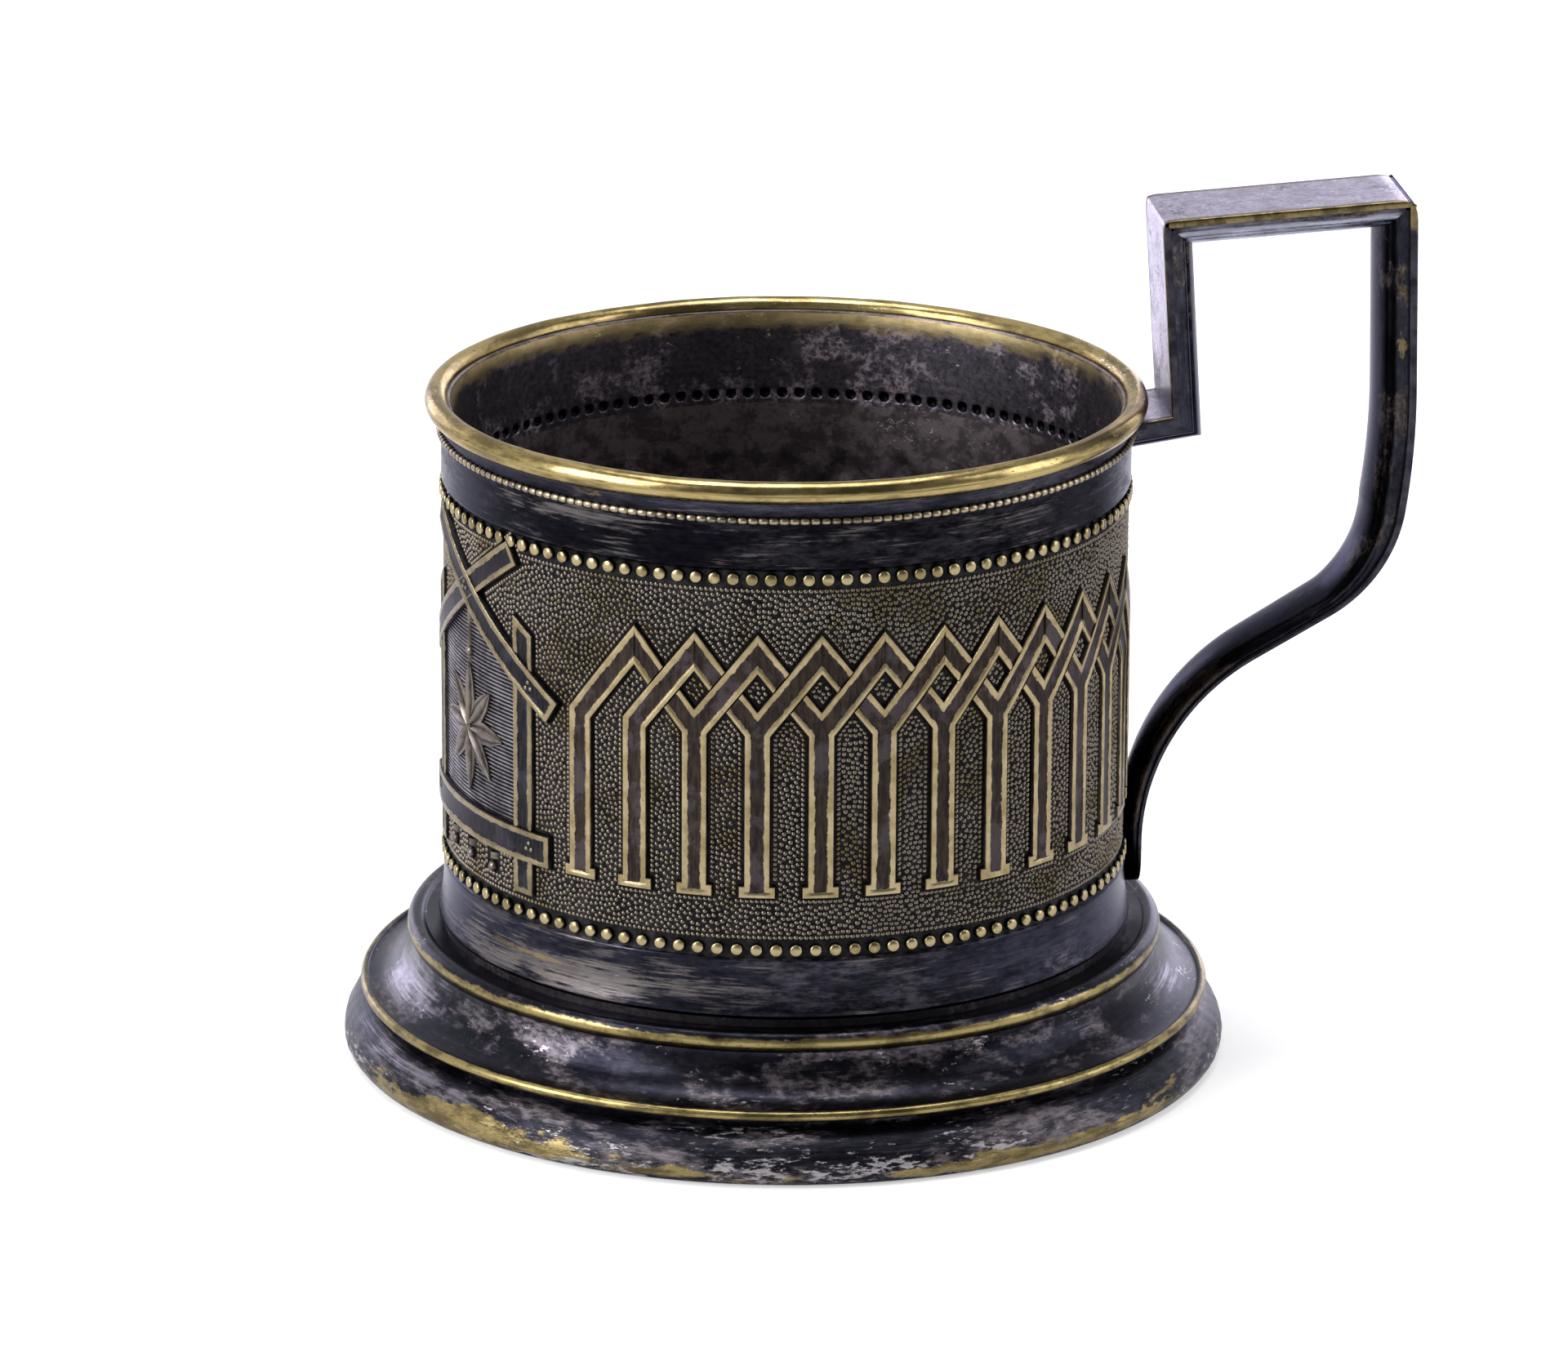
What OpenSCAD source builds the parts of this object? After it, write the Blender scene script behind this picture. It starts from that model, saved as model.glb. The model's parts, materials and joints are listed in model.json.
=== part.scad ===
// Tea glass holder of the podstakannik kind: a stamped sheet sleeve with a rolled rim,
// a spun foot with a heavy base ring, and a squared handle of moulded bar.
// Millimetres. The glass stands along +Z, the handle lies along +X, the foot rests on z = 0.

/* [Glass and sleeve] */
// Outside diameter of the tea glass that the sleeve takes
glass_d = 70; // [60:0.5:78]
// Clearance all round between the glass and the sleeve
glass_clear = 0.3; // [0.1:0.1:1]
// Thickness of the sleeve's sheet behind the frieze
sheet_t = 0.7; // [0.5:0.1:1.2]
// How far the plain bands stand proud of the frieze's ground
band_rise = 0.35; // [0.2:0.05:0.6]
// Height of the recessed frieze
frieze_h = 41.8; // [34:0.2:50]
// Height of the plain band under the frieze
lower_band_h = 6.3; // [5:0.1:9]
// Height from the frieze to the centre of the rim
upper_band_h = 8.3; // [6.5:0.1:11]
// How far the lower band flares out at the foot
lower_flare = 0.65; // [0.3:0.05:1]
// How far the upper band flares out under the rim
upper_flare = 0.5; // [0.3:0.05:0.8]

/* [Rim and beaded wire] */
// Diameter of the rolled rim
rim_d = 2.4; // [1.8:0.1:3.2]
// Drop from the centre of the rim to the beaded wire
wire_drop = 3.1; // [2.6:0.1:4]
// Diameter of the beaded wire
wire_d = 0.9; // [0.6:0.1:1.1]
// Number of beads along the wire
wire_beads = 205; // [150:1:220]

/* [Frieze] */
// Diameter of the pearls along the frieze's edges
pearl_d = 1.4; // [1:0.1:1.6]
// Number of pearls in the upper row, counted as a full turn
upper_pearls = 118; // [90:1:120]
// Number of pearls in the lower row, counted as a full turn
lower_pearls = 112; // [90:1:120]
// Width of the ribbons that the arcade is drawn with
ribbon_w = 2.8; // [2.2:0.1:3.2]
// How far the ribbons stand proud of the frieze's ground
ribbon_rise = 0.55; // [0.3:0.05:0.8]
// Height of the arcade
arcade_h = 28.5; // [26:0.5:30]
// Number of bays from the cartouche round the front to the handle
front_bays = 12; // [10:1:13]
// Number of bays from the handle round the back to the cartouche
back_bays = 15; // [12:1:16]
// Width of the cartouche's boards
board_w = 3; // [2.4:0.1:3.4]

/* [Foot] */
// Height of the foot with its disc, up to the plane that the sleeve stands on
foot_h = 14.6; // [13.6:0.1:20]
// Thickness of the foot's spun sheet
foot_sheet_t = 0.8; // [0.6:0.1:1.1]
// How far the shoulder stands out from the frieze's ground
shoulder_out = 4.3; // [3.8:0.1:5.5]
// Diameter of the shoulder's bead
shoulder_d = 2.2; // [1.6:0.1:2.6]
// Radius of the hollow moulding between the shoulder and the lip
scotia_r = 5.4; // [4.6:0.1:6]
// Diameter of the bead along the lip
lip_d = 1.1; // [0.8:0.1:1.4]
// Width of the base ring
base_w = 3.9; // [3:0.1:5]
// Height of the groove between the base ring and the lip
base_groove_h = 1.15; // [0.6:0.05:1.8]
// Radius of the base ring's lower edge
base_edge_r = 1.4; // [0.8:0.1:1.8]
// Thickness of the disc that carries the sleeve and the glass
seat_t = 0.9; // [0.6:0.1:1.3]

/* [Handle] */
// Width of the bar
handle_w = 12; // [9:0.5:15]
// Thickness of the flat strap along the bar's outer face
strap_t = 0.9; // [0.6:0.1:1.3]
// Height of the rounded moulding along the bar's inner face
moulding_h = 2.9; // [2:0.1:3.6]
// Reach of the strap's outer face from the frieze's ground
handle_out = 30.2; // [26:0.2:36]
// Rise of the handle's outer corner over the rim
handle_rise = 19.95; // [14:0.05:26]
// Distance from the frieze's ground to the upright leg at its foot
leg_out = 4.1; // [3.6:0.1:6]
// Drop from the top of the rim to the corner at the leg's foot
leg_drop = 3; // [2.7:0.1:3.6]
// Radius of the slow bow down the grip
bow_r = 80; // [60:1:110]
// Radius of the bend under the grip
bend_r = 16; // [12:0.5:18]
// Radius of the reverse bend that lands on the sleeve
reverse_r = 23.5; // [19:0.5:26]
// Width of the bar at its tongue
tongue_w = 7; // [5:0.5:9]
// Thickness of the tongue over the plain band
tongue_t = 1.95; // [1.4:0.05:2.4]

/* [Hidden] */
$fn = 120;

// Steps along each arc of an outline
arc_steps = 10;

// Sleeve, radii from the bore outwards
bore_r = glass_d / 2 + glass_clear;
ground_r = bore_r + sheet_t;
band_r = ground_r + band_rise;
hem_r = band_r + lower_flare;
neck_r = band_r + upper_flare;

// Sleeve, heights from the foot upwards
frieze_z = foot_h + lower_band_h;
frieze_top = frieze_z + frieze_h;
rim_z = frieze_top + upper_band_h;
rim_top = rim_z + rim_d / 2;
wire_z = rim_z - wire_drop;
frieze_step = 0.25;
hem_edge = 0.3;
cove_bow_share = 0.05;
rim_inset = 0.05;

// Pearls, centred between the frieze's ground and its plain bands
pearl_clear = 0.1;
pearl_out = 0.28;
pearl_fn = 24;
upper_pearl_z = frieze_top - frieze_step - pearl_clear - pearl_d / 2;
lower_pearl_z = frieze_z + frieze_step + pearl_clear + pearl_d / 2;
tongue_gap = asin((tongue_w / 2 + pearl_d) / ground_r);

// Relief, drawn on the developed wall: angles round the sleeve, heights from the floor
relief_r = ground_r + ribbon_rise;
cartouche_az = 198;
cartouche_gap = 29.9;
handle_gap = 8.5;
arcade_z = frieze_z + (frieze_h - arcade_h) / 2;
arch_angle = 52;
ribbon_cut = ribbon_w / cos(arch_angle);
plinth_w_share = 1.4;
plinth_h_share = 0.5;
board_cross_z = arcade_z + arcade_h - board_w / 2;
board_angle = 33;
board_up = 11.1;
board_down = 18.3;
post_out = 10.55;
post_sink = 0.5;
post_below = 3.7;
post_slant = 1.8;
post_top = board_cross_z - post_sink;
post_foot = arcade_z - post_below;
rail_half = 14.4;
rail_h = 3.6;
flower_rise = 11.8;
flower_z = arcade_z + flower_rise;
petal_l = 6.8;
petal_w = 2.1;
petal_waist_share = 0.42;
petal_root_share = 0.24;
petals = 8;

// Foot, from the flange under the disc down to the base ring
flange_z = foot_h - seat_t;
flange_w = 5.3;
flange_land = 0.3;
shoulder_r = ground_r + shoulder_out;
shoulder_rise = 0.5;
shoulder_cz = flange_z + shoulder_rise - shoulder_d / 2;
scotia_inset = 0.5;
scotia_drop = 0.3;
scotia_cr = shoulder_r - scotia_inset + scotia_r;
scotia_cz = flange_z - foot_sheet_t - scotia_drop;
lip_reach = 0.15;
lip_sink = 0.2;
lip_r = scotia_cr + lip_reach;
lip_cz = scotia_cz - scotia_r - lip_sink;
groove_in = 1.9;
skirt_hem_r = scotia_cr - groove_in;
base_top = lip_cz - lip_d / 2 - base_groove_h;
base_r = skirt_hem_r + base_w;
skirt_lift = 0.4;
seat_inset = 0.2;

// Handle, headings of the bar along its path, in degrees from +X towards +Z
foot_heading = 8.7;
leg_heading = 93.8;
top_heading = 3.7;
grip_heading = -88.8;
bow_heading = -98.5;
arm_heading = -149.5;
tongue_heading = -88;

// Handle, places along its path, given by the strap's outer face
reach = ground_r + handle_out;
tongue_l = 4.6;
tongue_lift = 1.6;
tongue_end = [band_r + tongue_t, foot_h + tongue_lift];
tongue_start = back_along(tongue_end, tongue_heading, tongue_l);
reverse_c = tongue_start - reverse_r * right_of(tongue_heading);
arm_end = reverse_c + reverse_r * right_of(arm_heading);
bend_run = bend_r * (right_of(arm_heading) - right_of(bow_heading));
bow_run = bow_r * (right_of(bow_heading) - right_of(grip_heading));
arm_l = (arm_end[0] + bend_run[0] + bow_run[0] - reach) / cos(arm_heading);
arm_start = back_along(arm_end, arm_heading, arm_l);
bend_c = arm_start + bend_r * right_of(arm_heading);
grip_end = arm_start + bend_run + bow_run;
bow_c = grip_end + bow_r * right_of(grip_heading);
top_corner_z = rim_top + handle_rise;
grip_l = (grip_end[1] - top_corner_z) / sin(grip_heading);
outer_corner = back_along(grip_end, grip_heading, grip_l);
leg_corner = [ground_r + leg_out, rim_top - leg_drop];
leg_l = cross(outer_corner - leg_corner, along(top_heading))
    / cross(along(leg_heading), along(top_heading));
inner_corner = leg_corner + leg_l * along(leg_heading);
foot_start = back_along(leg_corner, foot_heading, leg_out + sheet_t / 2);

// Handle, the bar's section and its taper from the bend to the tongue
strap_edge = 0.15;
moulding_ledge = 0.7;
moulding_side_share = 0.12;
moulding_steps = 12;
tongue_depth_share = 0.56;
tongue_tip_share = 0.2;
taper_depth_share = 0.25;
bow_steps = 3;
bend_steps = 10;
reverse_steps = 12;
tip_steps = 5;

// Unit vector along a heading, and the one to its right, which points into the bar
function along(h) = [cos(h), sin(h)];
function right_of(h) = [sin(h), -cos(h)];
function back_along(p, h, l) = p - l * along(h);

// Points along an arc from angle a to angle b
function arc(c, r, a, b, n = arc_steps) = [for (i = [0:n]) c + r * along(a + (b - a) * i / n)];

// Points of a hollow curve from p to q, bowed inwards by a share of its length
function cove(p, q, n = arc_steps) = [
    for (i = [0:n]) p + (q - p) * i / n
        - [4 * cove_bow_share * norm(q - p) * (i / n) * (1 - i / n), 0]
];

// Outer line of the sleeve, from the foot to the rim
sleeve_line = concat(
    [[hem_r - hem_edge, foot_h]],
    cove([hem_r, foot_h + hem_edge], [band_r, frieze_z - hem_edge]),
    [[band_r, frieze_z], [ground_r, frieze_z + frieze_step]],
    [[ground_r, frieze_top - frieze_step], [band_r, frieze_top]],
    cove([band_r, wire_z + wire_d], [neck_r, rim_z - rim_d / 2]),
    [[neck_r, rim_z]]
);

module sleeve() {
    color("slategray") {
        rotate_extrude() polygon(concat([[bore_r, foot_h]], sleeve_line, [[bore_r, rim_z]]));
        pearl_row(upper_pearls, upper_pearl_z, 0);
        pearl_row(lower_pearls, lower_pearl_z, tongue_gap);
        arcade(cartouche_az + cartouche_gap, 360 - handle_gap, front_bays);
        arcade(handle_gap, cartouche_az - cartouche_gap, back_bays);
        cartouche();
    }
}

// A row of pearls at height z, left out within an angle of the handle
module pearl_row(n, z, gap) {
    for (i = [0:n - 1])
        let (az = 360 * (i + 1 / 2) / n)
            if (abs((az + 180) % 360 - 180) > gap)
                rotate([0, 0, az]) translate([ground_r + pearl_out, 0, z]) rotate([0, 90, 0])
                    sphere(d = pearl_d, $fn = pearl_fn);
}

// Stands a flat outline on the wall at an angle, as a pad that reaches the radius r
module pad(az, r) {
    intersection() {
        rotate([0, 0, az]) translate([ground_r - sheet_t / 2, 0, 0]) rotate([90, 0, 90])
            linear_extrude(sheet_t / 2 + r - ground_r + sheet_t) children();
        cylinder(r = r, h = rim_z);
    }
}

// One column of the arcade, with the parts of the crossing arches that lie in its bay
module bay(half, arch, left, right) {
    rise = half * tan(arch_angle);
    top = arcade_z + arcade_h - ribbon_cut / 2;
    spring = top - 2 * rise;
    translate([-ribbon_w / 2, arcade_z]) square([ribbon_w, spring - arcade_z]);
    translate([-ribbon_w * plinth_w_share / 2, arcade_z])
        square([ribbon_w * plinth_w_share, ribbon_w * plinth_h_share]);
    if (left) limb(-half, spring, spring + rise, ribbon_w / 2);
    if (right) limb(half, spring, spring + rise, ribbon_w / 2);
    if (arch) {
        limb(-half, top, top - rise);
        limb(half, top, top - rise);
    }
}

// A slanting ribbon to the edge of a bay, started a little way behind the bay's middle
module limb(half, z0, z1, behind = 0) {
    slope = (z1 - z0) / abs(half);
    start_x = -sign(half) * behind;
    start_z = z0 - slope * behind;
    polygon([
        [start_x, start_z - ribbon_cut / 2], [half, z1 - ribbon_cut / 2],
        [half, z1 + ribbon_cut / 2], [start_x, start_z + ribbon_cut / 2]
    ]);
}

module arcade(from, to, bays) {
    step = (to - from) / bays;
    half = relief_r * tan(step / 2);
    for (j = [0:bays])
        pad(from + j * step, relief_r) bay(half, j > 0 && j < bays, j > 1, j < bays - 1);
}

// Stands an outline on the wall as it is seen from an angle, out to the radius r
module facing(az, r) {
    intersection() {
        rotate([0, 0, az]) rotate([90, 0, 90]) linear_extrude(r) children();
        rotate_extrude() translate([ground_r - sheet_t / 2, frieze_z]) square([r - ground_r + sheet_t / 2, frieze_h]);
    }
}

module board(side) {
    translate([0, board_cross_z]) rotate(-side * board_angle)
        translate([side > 0 ? -board_up : -board_down, -board_w / 2])
            square([board_up + board_down, board_w]);
}

module post(side) {
    half = board_w / 2;
    polygon([
        [side * (post_out - half), post_foot], [side * (post_out + half), post_foot],
        [side * (post_out + half), post_top - post_slant], [side * (post_out - half), post_top]
    ]);
}

module flower() {
    waist = [petal_l * petal_waist_share, petal_w / 2];
    turn = atan2(waist[1], waist[0]);
    outline = [
        [-180 / petals, petal_l * petal_root_share], [-turn, norm(waist)], [0, petal_l], [turn, norm(waist)]
    ];
    translate([0, flower_z]) polygon([
        for (i = [0:petals - 1], q = outline) q[1] * along(360 * i / petals + q[0])
    ]);
}

// Crossed boards over two posts and a rail, with a flower between them
module cartouche() {
    facing(cartouche_az, relief_r) {
        board(-1);
        board(1);
        post(-1);
        post(1);
        translate([-rail_half, arcade_z]) square([2 * rail_half, rail_h]);
        flower();
    }
}

// Solid core of the sleeve, which trims whatever is soldered to its wall
module sleeve_core() {
    rotate_extrude() polygon(concat([[0, foot_h]], sleeve_line, [[0, rim_z]]));
}

module rim_ring() {
    color("darkgoldenrod") rotate_extrude() difference() {
        translate([neck_r - rim_inset, rim_z]) circle(d = rim_d);
        translate([0, rim_z - rim_d]) square([neck_r, rim_d]);
    }
}

// The wire stops on either side of the handle's foot
wire_sink_share = 0.3;
bead_shares = [[0, 0.7], [0.27, 1], [0.73, 1]];
wire_gap_clear = 0.3;
wire_gap = asin((handle_w / 2 + wire_gap_clear) / band_r);

// A ring of the wire at an angle round the sleeve, at a share of its full thickness
wire_sides = 4;
function wire_ring(az, share) =
    let (r = share * wire_d / 2, out = wire_d * (1 / 2 - wire_sink_share), open = acos(-out / r))
    [for (k = [0:wire_sides])
        let (p = [band_r + out, wire_z] + r * along(open * (2 * k / wire_sides - 1)))
        [p[0] * cos(az), p[0] * sin(az), p[1]]];

module beaded_wire() {
    pitch = (360 - 2 * wire_gap) / wire_beads;
    rings = concat(
        [for (i = [0:wire_beads - 1], q = bead_shares) wire_ring(wire_gap + (i + q[0]) * pitch, q[1])],
        [wire_ring(360 - wire_gap, bead_shares[0][1])]
    );
    color("goldenrod") swept(rings);
}

// Outer and inner lines of the foot's sheet, from the flange under the sleeve to the hem
skirt_outer = concat(
    [[bore_r - flange_w, flange_z], [hem_r + flange_land, flange_z]],
    arc([shoulder_r - shoulder_d / 2, shoulder_cz], shoulder_d / 2, 140, -45),
    arc([scotia_cr, scotia_cz], scotia_r, 185, 262),
    arc([lip_r - lip_d / 2, lip_cz], lip_d / 2, 120, -90),
    [[skirt_hem_r, lip_cz - lip_d / 2], [skirt_hem_r, skirt_lift]]
);
skirt_inner_r = scotia_r + foot_sheet_t;
skirt_inner_end = acos((foot_sheet_t + groove_in) / skirt_inner_r);
skirt_inner = concat(
    [[skirt_hem_r - foot_sheet_t, skirt_lift]],
    arc([scotia_cr, scotia_cz], skirt_inner_r, 180 + skirt_inner_end, 180),
    [[scotia_cr - skirt_inner_r, flange_z - foot_sheet_t]],
    [[bore_r - flange_w, flange_z - foot_sheet_t]]
);

module foot_skirt() {
    color("dimgray") rotate_extrude() polygon(concat(skirt_outer, skirt_inner));
}

module base_ring() {
    base_round_h = base_top - base_edge_r;
    color("gray") rotate_extrude() polygon(concat(
        [[skirt_hem_r, 0]],
        arc([base_r - base_edge_r, base_edge_r], base_edge_r, -90, 0),
        [for (i = [1:arc_steps])
            [skirt_hem_r + base_w * cos(90 * i / arc_steps),
             base_edge_r + base_round_h * sin(90 * i / arc_steps)]]
    ));
}

module glass_seat() {
    color("darkslategray") translate([0, 0, flange_z])
        cylinder(r = hem_r - hem_edge - seat_inset, h = seat_t);
}

// A station along the bar: its point, the vector into the bar, and its width and depth shares
function tapered(p, h, u, tip = 1) = [
    p,
    right_of(h),
    tip * (1 - (1 - tongue_w / handle_w) * u),
    1 - (1 - tongue_depth_share) * min(1, u / taper_depth_share)
];
function mitred(p, a, b) = [p, right_of((a + b) / 2) / cos((b - a) / 2), 1, 1];

// Lengths along the tapering part of the bar
bend_l = bend_r * (bow_heading - arm_heading) * PI / 180;
reverse_l = reverse_r * (tongue_heading - arm_heading) * PI / 180;
taper_l = bend_l + arm_l + reverse_l + tongue_l;
function bow_at(i) = bow_heading + (grip_heading - bow_heading) * (1 - i / bow_steps);
function bend_at(i) = bow_heading + (arm_heading - bow_heading) * i / bend_steps;
function reverse_at(i) = arm_heading + (tongue_heading - arm_heading) * i / reverse_steps;

stations = concat(
    [tapered(foot_start, foot_heading, 0)],
    [mitred(leg_corner, foot_heading, leg_heading)],
    [mitred(inner_corner, leg_heading, top_heading)],
    [mitred(outer_corner, top_heading, grip_heading)],
    [for (i = [0:bow_steps - 1])
        let (h = bow_at(i)) tapered(bow_c - bow_r * right_of(h), h, 0)],
    [for (i = [0:bend_steps])
        let (h = bend_at(i)) tapered(bend_c - bend_r * right_of(h), h, bend_l * i / bend_steps / taper_l)],
    [for (i = [0:reverse_steps])
        let (h = reverse_at(i))
        tapered(reverse_c + reverse_r * right_of(h), h,
                (bend_l + arm_l + reverse_l * i / reverse_steps) / taper_l)],
    [for (i = [1:tip_steps])
        tapered(tongue_start + tongue_l * along(tongue_heading) * sin(90 * i / tip_steps),
                tongue_heading, 1, max(tongue_tip_share, cos(90 * i / tip_steps)))]
);

// Sections of the bar, across its width and inwards from the strap's outer face
half_w = handle_w / 2;
strap_section = [
    [-half_w, strap_edge], [-half_w + strap_edge, 0], [half_w - strap_edge, 0], [half_w, strap_edge],
    [half_w, strap_t - strap_edge], [half_w - strap_edge, strap_t],
    [-half_w + strap_edge, strap_t], [-half_w, strap_t - strap_edge]
];
moulding_half = half_w - moulding_ledge;
moulding_side = moulding_h * moulding_side_share;
moulding_section = concat(
    [[-moulding_half, strap_t], [moulding_half, strap_t]],
    [for (i = [0:moulding_steps])
        let (a = 180 * i / moulding_steps)
        [moulding_half * cos(a), strap_t + moulding_side + (moulding_h - moulding_side) * sin(a)]]
);

// Joins rings of equally many points, from a flat start to a flat end
module swept(rings) {
    n = len(rings[0]);
    last = len(rings) - 1;
    sides = [
        for (i = [0:last - 1], j = [0:n - 1])
            [i * n + j, i * n + (j + 1) % n, (i + 1) * n + (j + 1) % n, (i + 1) * n + j]
    ];
    start = [for (j = [n - 1:-1:0]) j];
    end = [for (j = [0:n - 1]) last * n + j];
    polyhedron([for (ring = rings, p = ring) p], concat(sides, [start, end]), convexity = 8);
}

// Carries a section along the stations, with straight runs mitred at the corners
module bar(section) {
    difference() {
        swept([
            for (s = stations)
                [for (q = section)
                    [s[0][0] + s[1][0] * q[1] * s[3], q[0] * s[2], s[0][1] + s[1][1] * q[1] * s[3]]]
        ]);
        sleeve_core();
    }
}

module handle_strap() {
    color("lightslategray") bar(strap_section);
}

module handle_moulding() {
    color("darkslategray") bar(moulding_section);
}

sleeve();
rim_ring();
beaded_wire();
foot_skirt();
base_ring();
glass_seat();
handle_strap();
handle_moulding();
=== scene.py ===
import json
import math
import random
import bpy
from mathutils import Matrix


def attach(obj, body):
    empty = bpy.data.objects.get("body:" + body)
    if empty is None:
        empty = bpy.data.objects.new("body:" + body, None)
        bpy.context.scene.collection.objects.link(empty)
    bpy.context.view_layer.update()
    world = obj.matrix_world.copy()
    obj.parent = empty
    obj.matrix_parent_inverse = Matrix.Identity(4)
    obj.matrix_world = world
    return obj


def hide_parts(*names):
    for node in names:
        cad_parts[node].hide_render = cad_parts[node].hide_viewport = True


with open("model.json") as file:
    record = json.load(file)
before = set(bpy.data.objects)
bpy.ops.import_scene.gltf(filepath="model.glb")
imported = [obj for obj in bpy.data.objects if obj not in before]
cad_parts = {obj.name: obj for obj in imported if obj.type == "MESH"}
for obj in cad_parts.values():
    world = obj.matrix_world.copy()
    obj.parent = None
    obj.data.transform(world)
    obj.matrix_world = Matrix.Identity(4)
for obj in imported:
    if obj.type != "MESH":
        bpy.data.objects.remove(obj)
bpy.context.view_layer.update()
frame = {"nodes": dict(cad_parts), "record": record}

from types import SimpleNamespace

import bmesh
import bpy
import numpy as np
from mathutils import Matrix, Vector
from mathutils.geometry import tessellate_polygon
from mathutils.kdtree import KDTree

bl_info = {
    "name": "Tea glass holder",
    "version": (1, 0, 0),
    "blender": (4, 5, 0),
    "location": "View3D > Sidebar > Holder",
    "description": "Dresses the stamped tea glass holder: frieze, rim, foot and handle in worn brass",
    "category": "Object",
}

RECORD_BORE = next(m for m in frame["record"]["mounts"] if m["name"] == "glass_bore")
MM = 0.001
RIM_TOP = 72.2
NECK_FLARE = 0.5
FRIEZE_STEP = 0.25
FOOT_OF_SLEEVE = 14.6
CARTOUCHE_AT = 198


# Sizes and colours

def length(name, description, millimetres):
    """A length that a user can change, kept in metres."""
    return bpy.props.FloatProperty(name=name, description=description, default=millimetres * MM,
                                   min=0.0, precision=5, unit="LENGTH", subtype="DISTANCE")


def colour(name, description, rgb):
    """A colour that a user can change."""
    return bpy.props.FloatVectorProperty(name=name, description=description, default=rgb,
                                         min=0.0, max=1.0, size=3, subtype="COLOR")


class HolderSizes(bpy.types.PropertyGroup):
    """Sizes of the sleeve, the rim and the frieze"""
    bore_radius: length("Bore radius", "Inner radius of the sleeve", RECORD_BORE["dims"]["r_mm"])
    sheet: length("Sheet", "Thickness of the sleeve's sheet behind the frieze", 0.7)
    band_rise: length("Band rise", "How far the plain bands stand proud of the frieze", 0.35)
    frieze_foot: length("Frieze foot", "Height of the frieze's lower edge", 20.9)
    frieze_top: length("Frieze top", "Height of the frieze's upper edge", 62.7)
    rim_height: length("Rim height", "Height of the rim's centre", 71.0)
    rim_radius: length("Rim roll radius", "Radius of the rolled rim", 1.2)
    wire_height: length("Wire height", "Height of the beaded wire", 67.9)
    pearl_size: length("Pearl size", "Diameter of a pearl", 1.4)
    ribbon_width: length("Ribbon width", "Width of the arcade's ribbons", 2.8)
    ribbon_rise: length("Ribbon rise", "How far the ribbons stand proud", 0.55)
    border_width: length("Border width", "Width of the bright border along a ribbon", 0.52)
    pebble_size: length("Pebble size", "Diameter of a pebble of the stippled ground", 0.535)
    pebble_gap: length("Pebble gap", "Least distance between two pebbles' centres", 0.445)


class HolderFinish(bpy.types.PropertyGroup):
    """Colours of the worn plating"""
    brass: colour("Brass", "Yellow metal where the plating is worn off", (0.29, 0.228, 0.098))
    film: colour("Film", "Blue-black tarnish", (0.0065, 0.0065, 0.0105))
    steel: colour("Steel", "Thin blue-grey tarnish", (0.021, 0.021, 0.028))
    bloom: colour("Bloom", "Whitish deposits in the pits", (0.42, 0.39, 0.39))
    brown: colour("Brown film", "Brown tarnish on the disc under the glass", (0.030, 0.025, 0.027))
    soot: colour("Soot", "Black in the hollows", (0.006, 0.006, 0.008))


class StageSettings(bpy.types.PropertyGroup):
    """Floor, lamps and camera"""
    floor: colour("Floor", "Colour of the floor", (0.92, 0.92, 0.93))
    lens: bpy.props.FloatProperty(name="Lens", default=185.18,
                                  description="Focal length on a 36 mm sensor")
    lamp_level: bpy.props.FloatProperty(name="Lamp level", default=1.0,
                                        description="Level of the soft lamps")
    front_level: bpy.props.FloatProperty(name="Front level", default=0.22, subtype="FACTOR",
                                         description="Brightness of the room behind the camera")


def mm(value):
    """Metres in millimetres."""
    return value / MM


def read_sizes(context):
    """The user's sizes in millimetres, and the radii that follow from them."""
    group = context.scene.holder_sizes
    size = SimpleNamespace(**{key: mm(getattr(group, key)) for key in group.__annotations__})
    size.ground = mm(group.bore_radius + group.sheet)
    size.band = size.ground + size.band_rise
    size.neck = size.band + NECK_FLARE
    return size


# Meshes

def piece(name, vertices, faces, values=None, smooth_angle=40.0, materials=()):
    """A mesh object from points in millimetres; values maps attribute names to point arrays."""
    mesh = bpy.data.meshes.new(name)
    mesh.from_pydata((np.asarray(vertices, dtype=float) * MM).tolist(), [], faces)
    for key, data in (values or {}).items():
        data = np.asarray(data, dtype=float)
        kind, field = ("FLOAT", "value") if data.ndim == 1 else ("FLOAT_VECTOR", "vector")
        mesh.attributes.new(key, kind, "POINT").data.foreach_set(field, data.ravel())
    mesh.validate(clean_customdata=False)
    mesh.update()
    mesh.polygons.foreach_set("use_smooth", [True] * len(mesh.polygons))
    mesh.set_sharp_from_angle(angle=math.radians(smooth_angle))
    for material in materials:
        mesh.materials.append(bpy.data.materials[material])
    made = bpy.data.objects.new(name, mesh)
    bpy.context.scene.collection.objects.link(made)
    return made


def settle(made, slot, *nodes):
    """Rides the piece on the one body and hides the nodes that it stands for; its slot is not used.
    """
    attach(made, "root")
    if nodes:
        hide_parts(*nodes)
    return made


def plain_mesh(made, name):
    """Turns an object with modifiers into a plain mesh object of the given name."""
    graph = bpy.context.evaluated_depsgraph_get()
    mesh = bpy.data.meshes.new_from_object(made.evaluated_get(graph), depsgraph=graph)
    mesh.name = name
    old = made.data
    made.modifiers.clear()
    made.data = mesh
    made.name = name
    bpy.data.meshes.remove(old)


def outward(made):
    """Turns every face of a closed piece outwards."""
    mesh = bmesh.new()
    mesh.from_mesh(made.data)
    bmesh.ops.recalc_face_normals(mesh, faces=mesh.faces)
    mesh.to_mesh(made.data)
    mesh.free()


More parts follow.
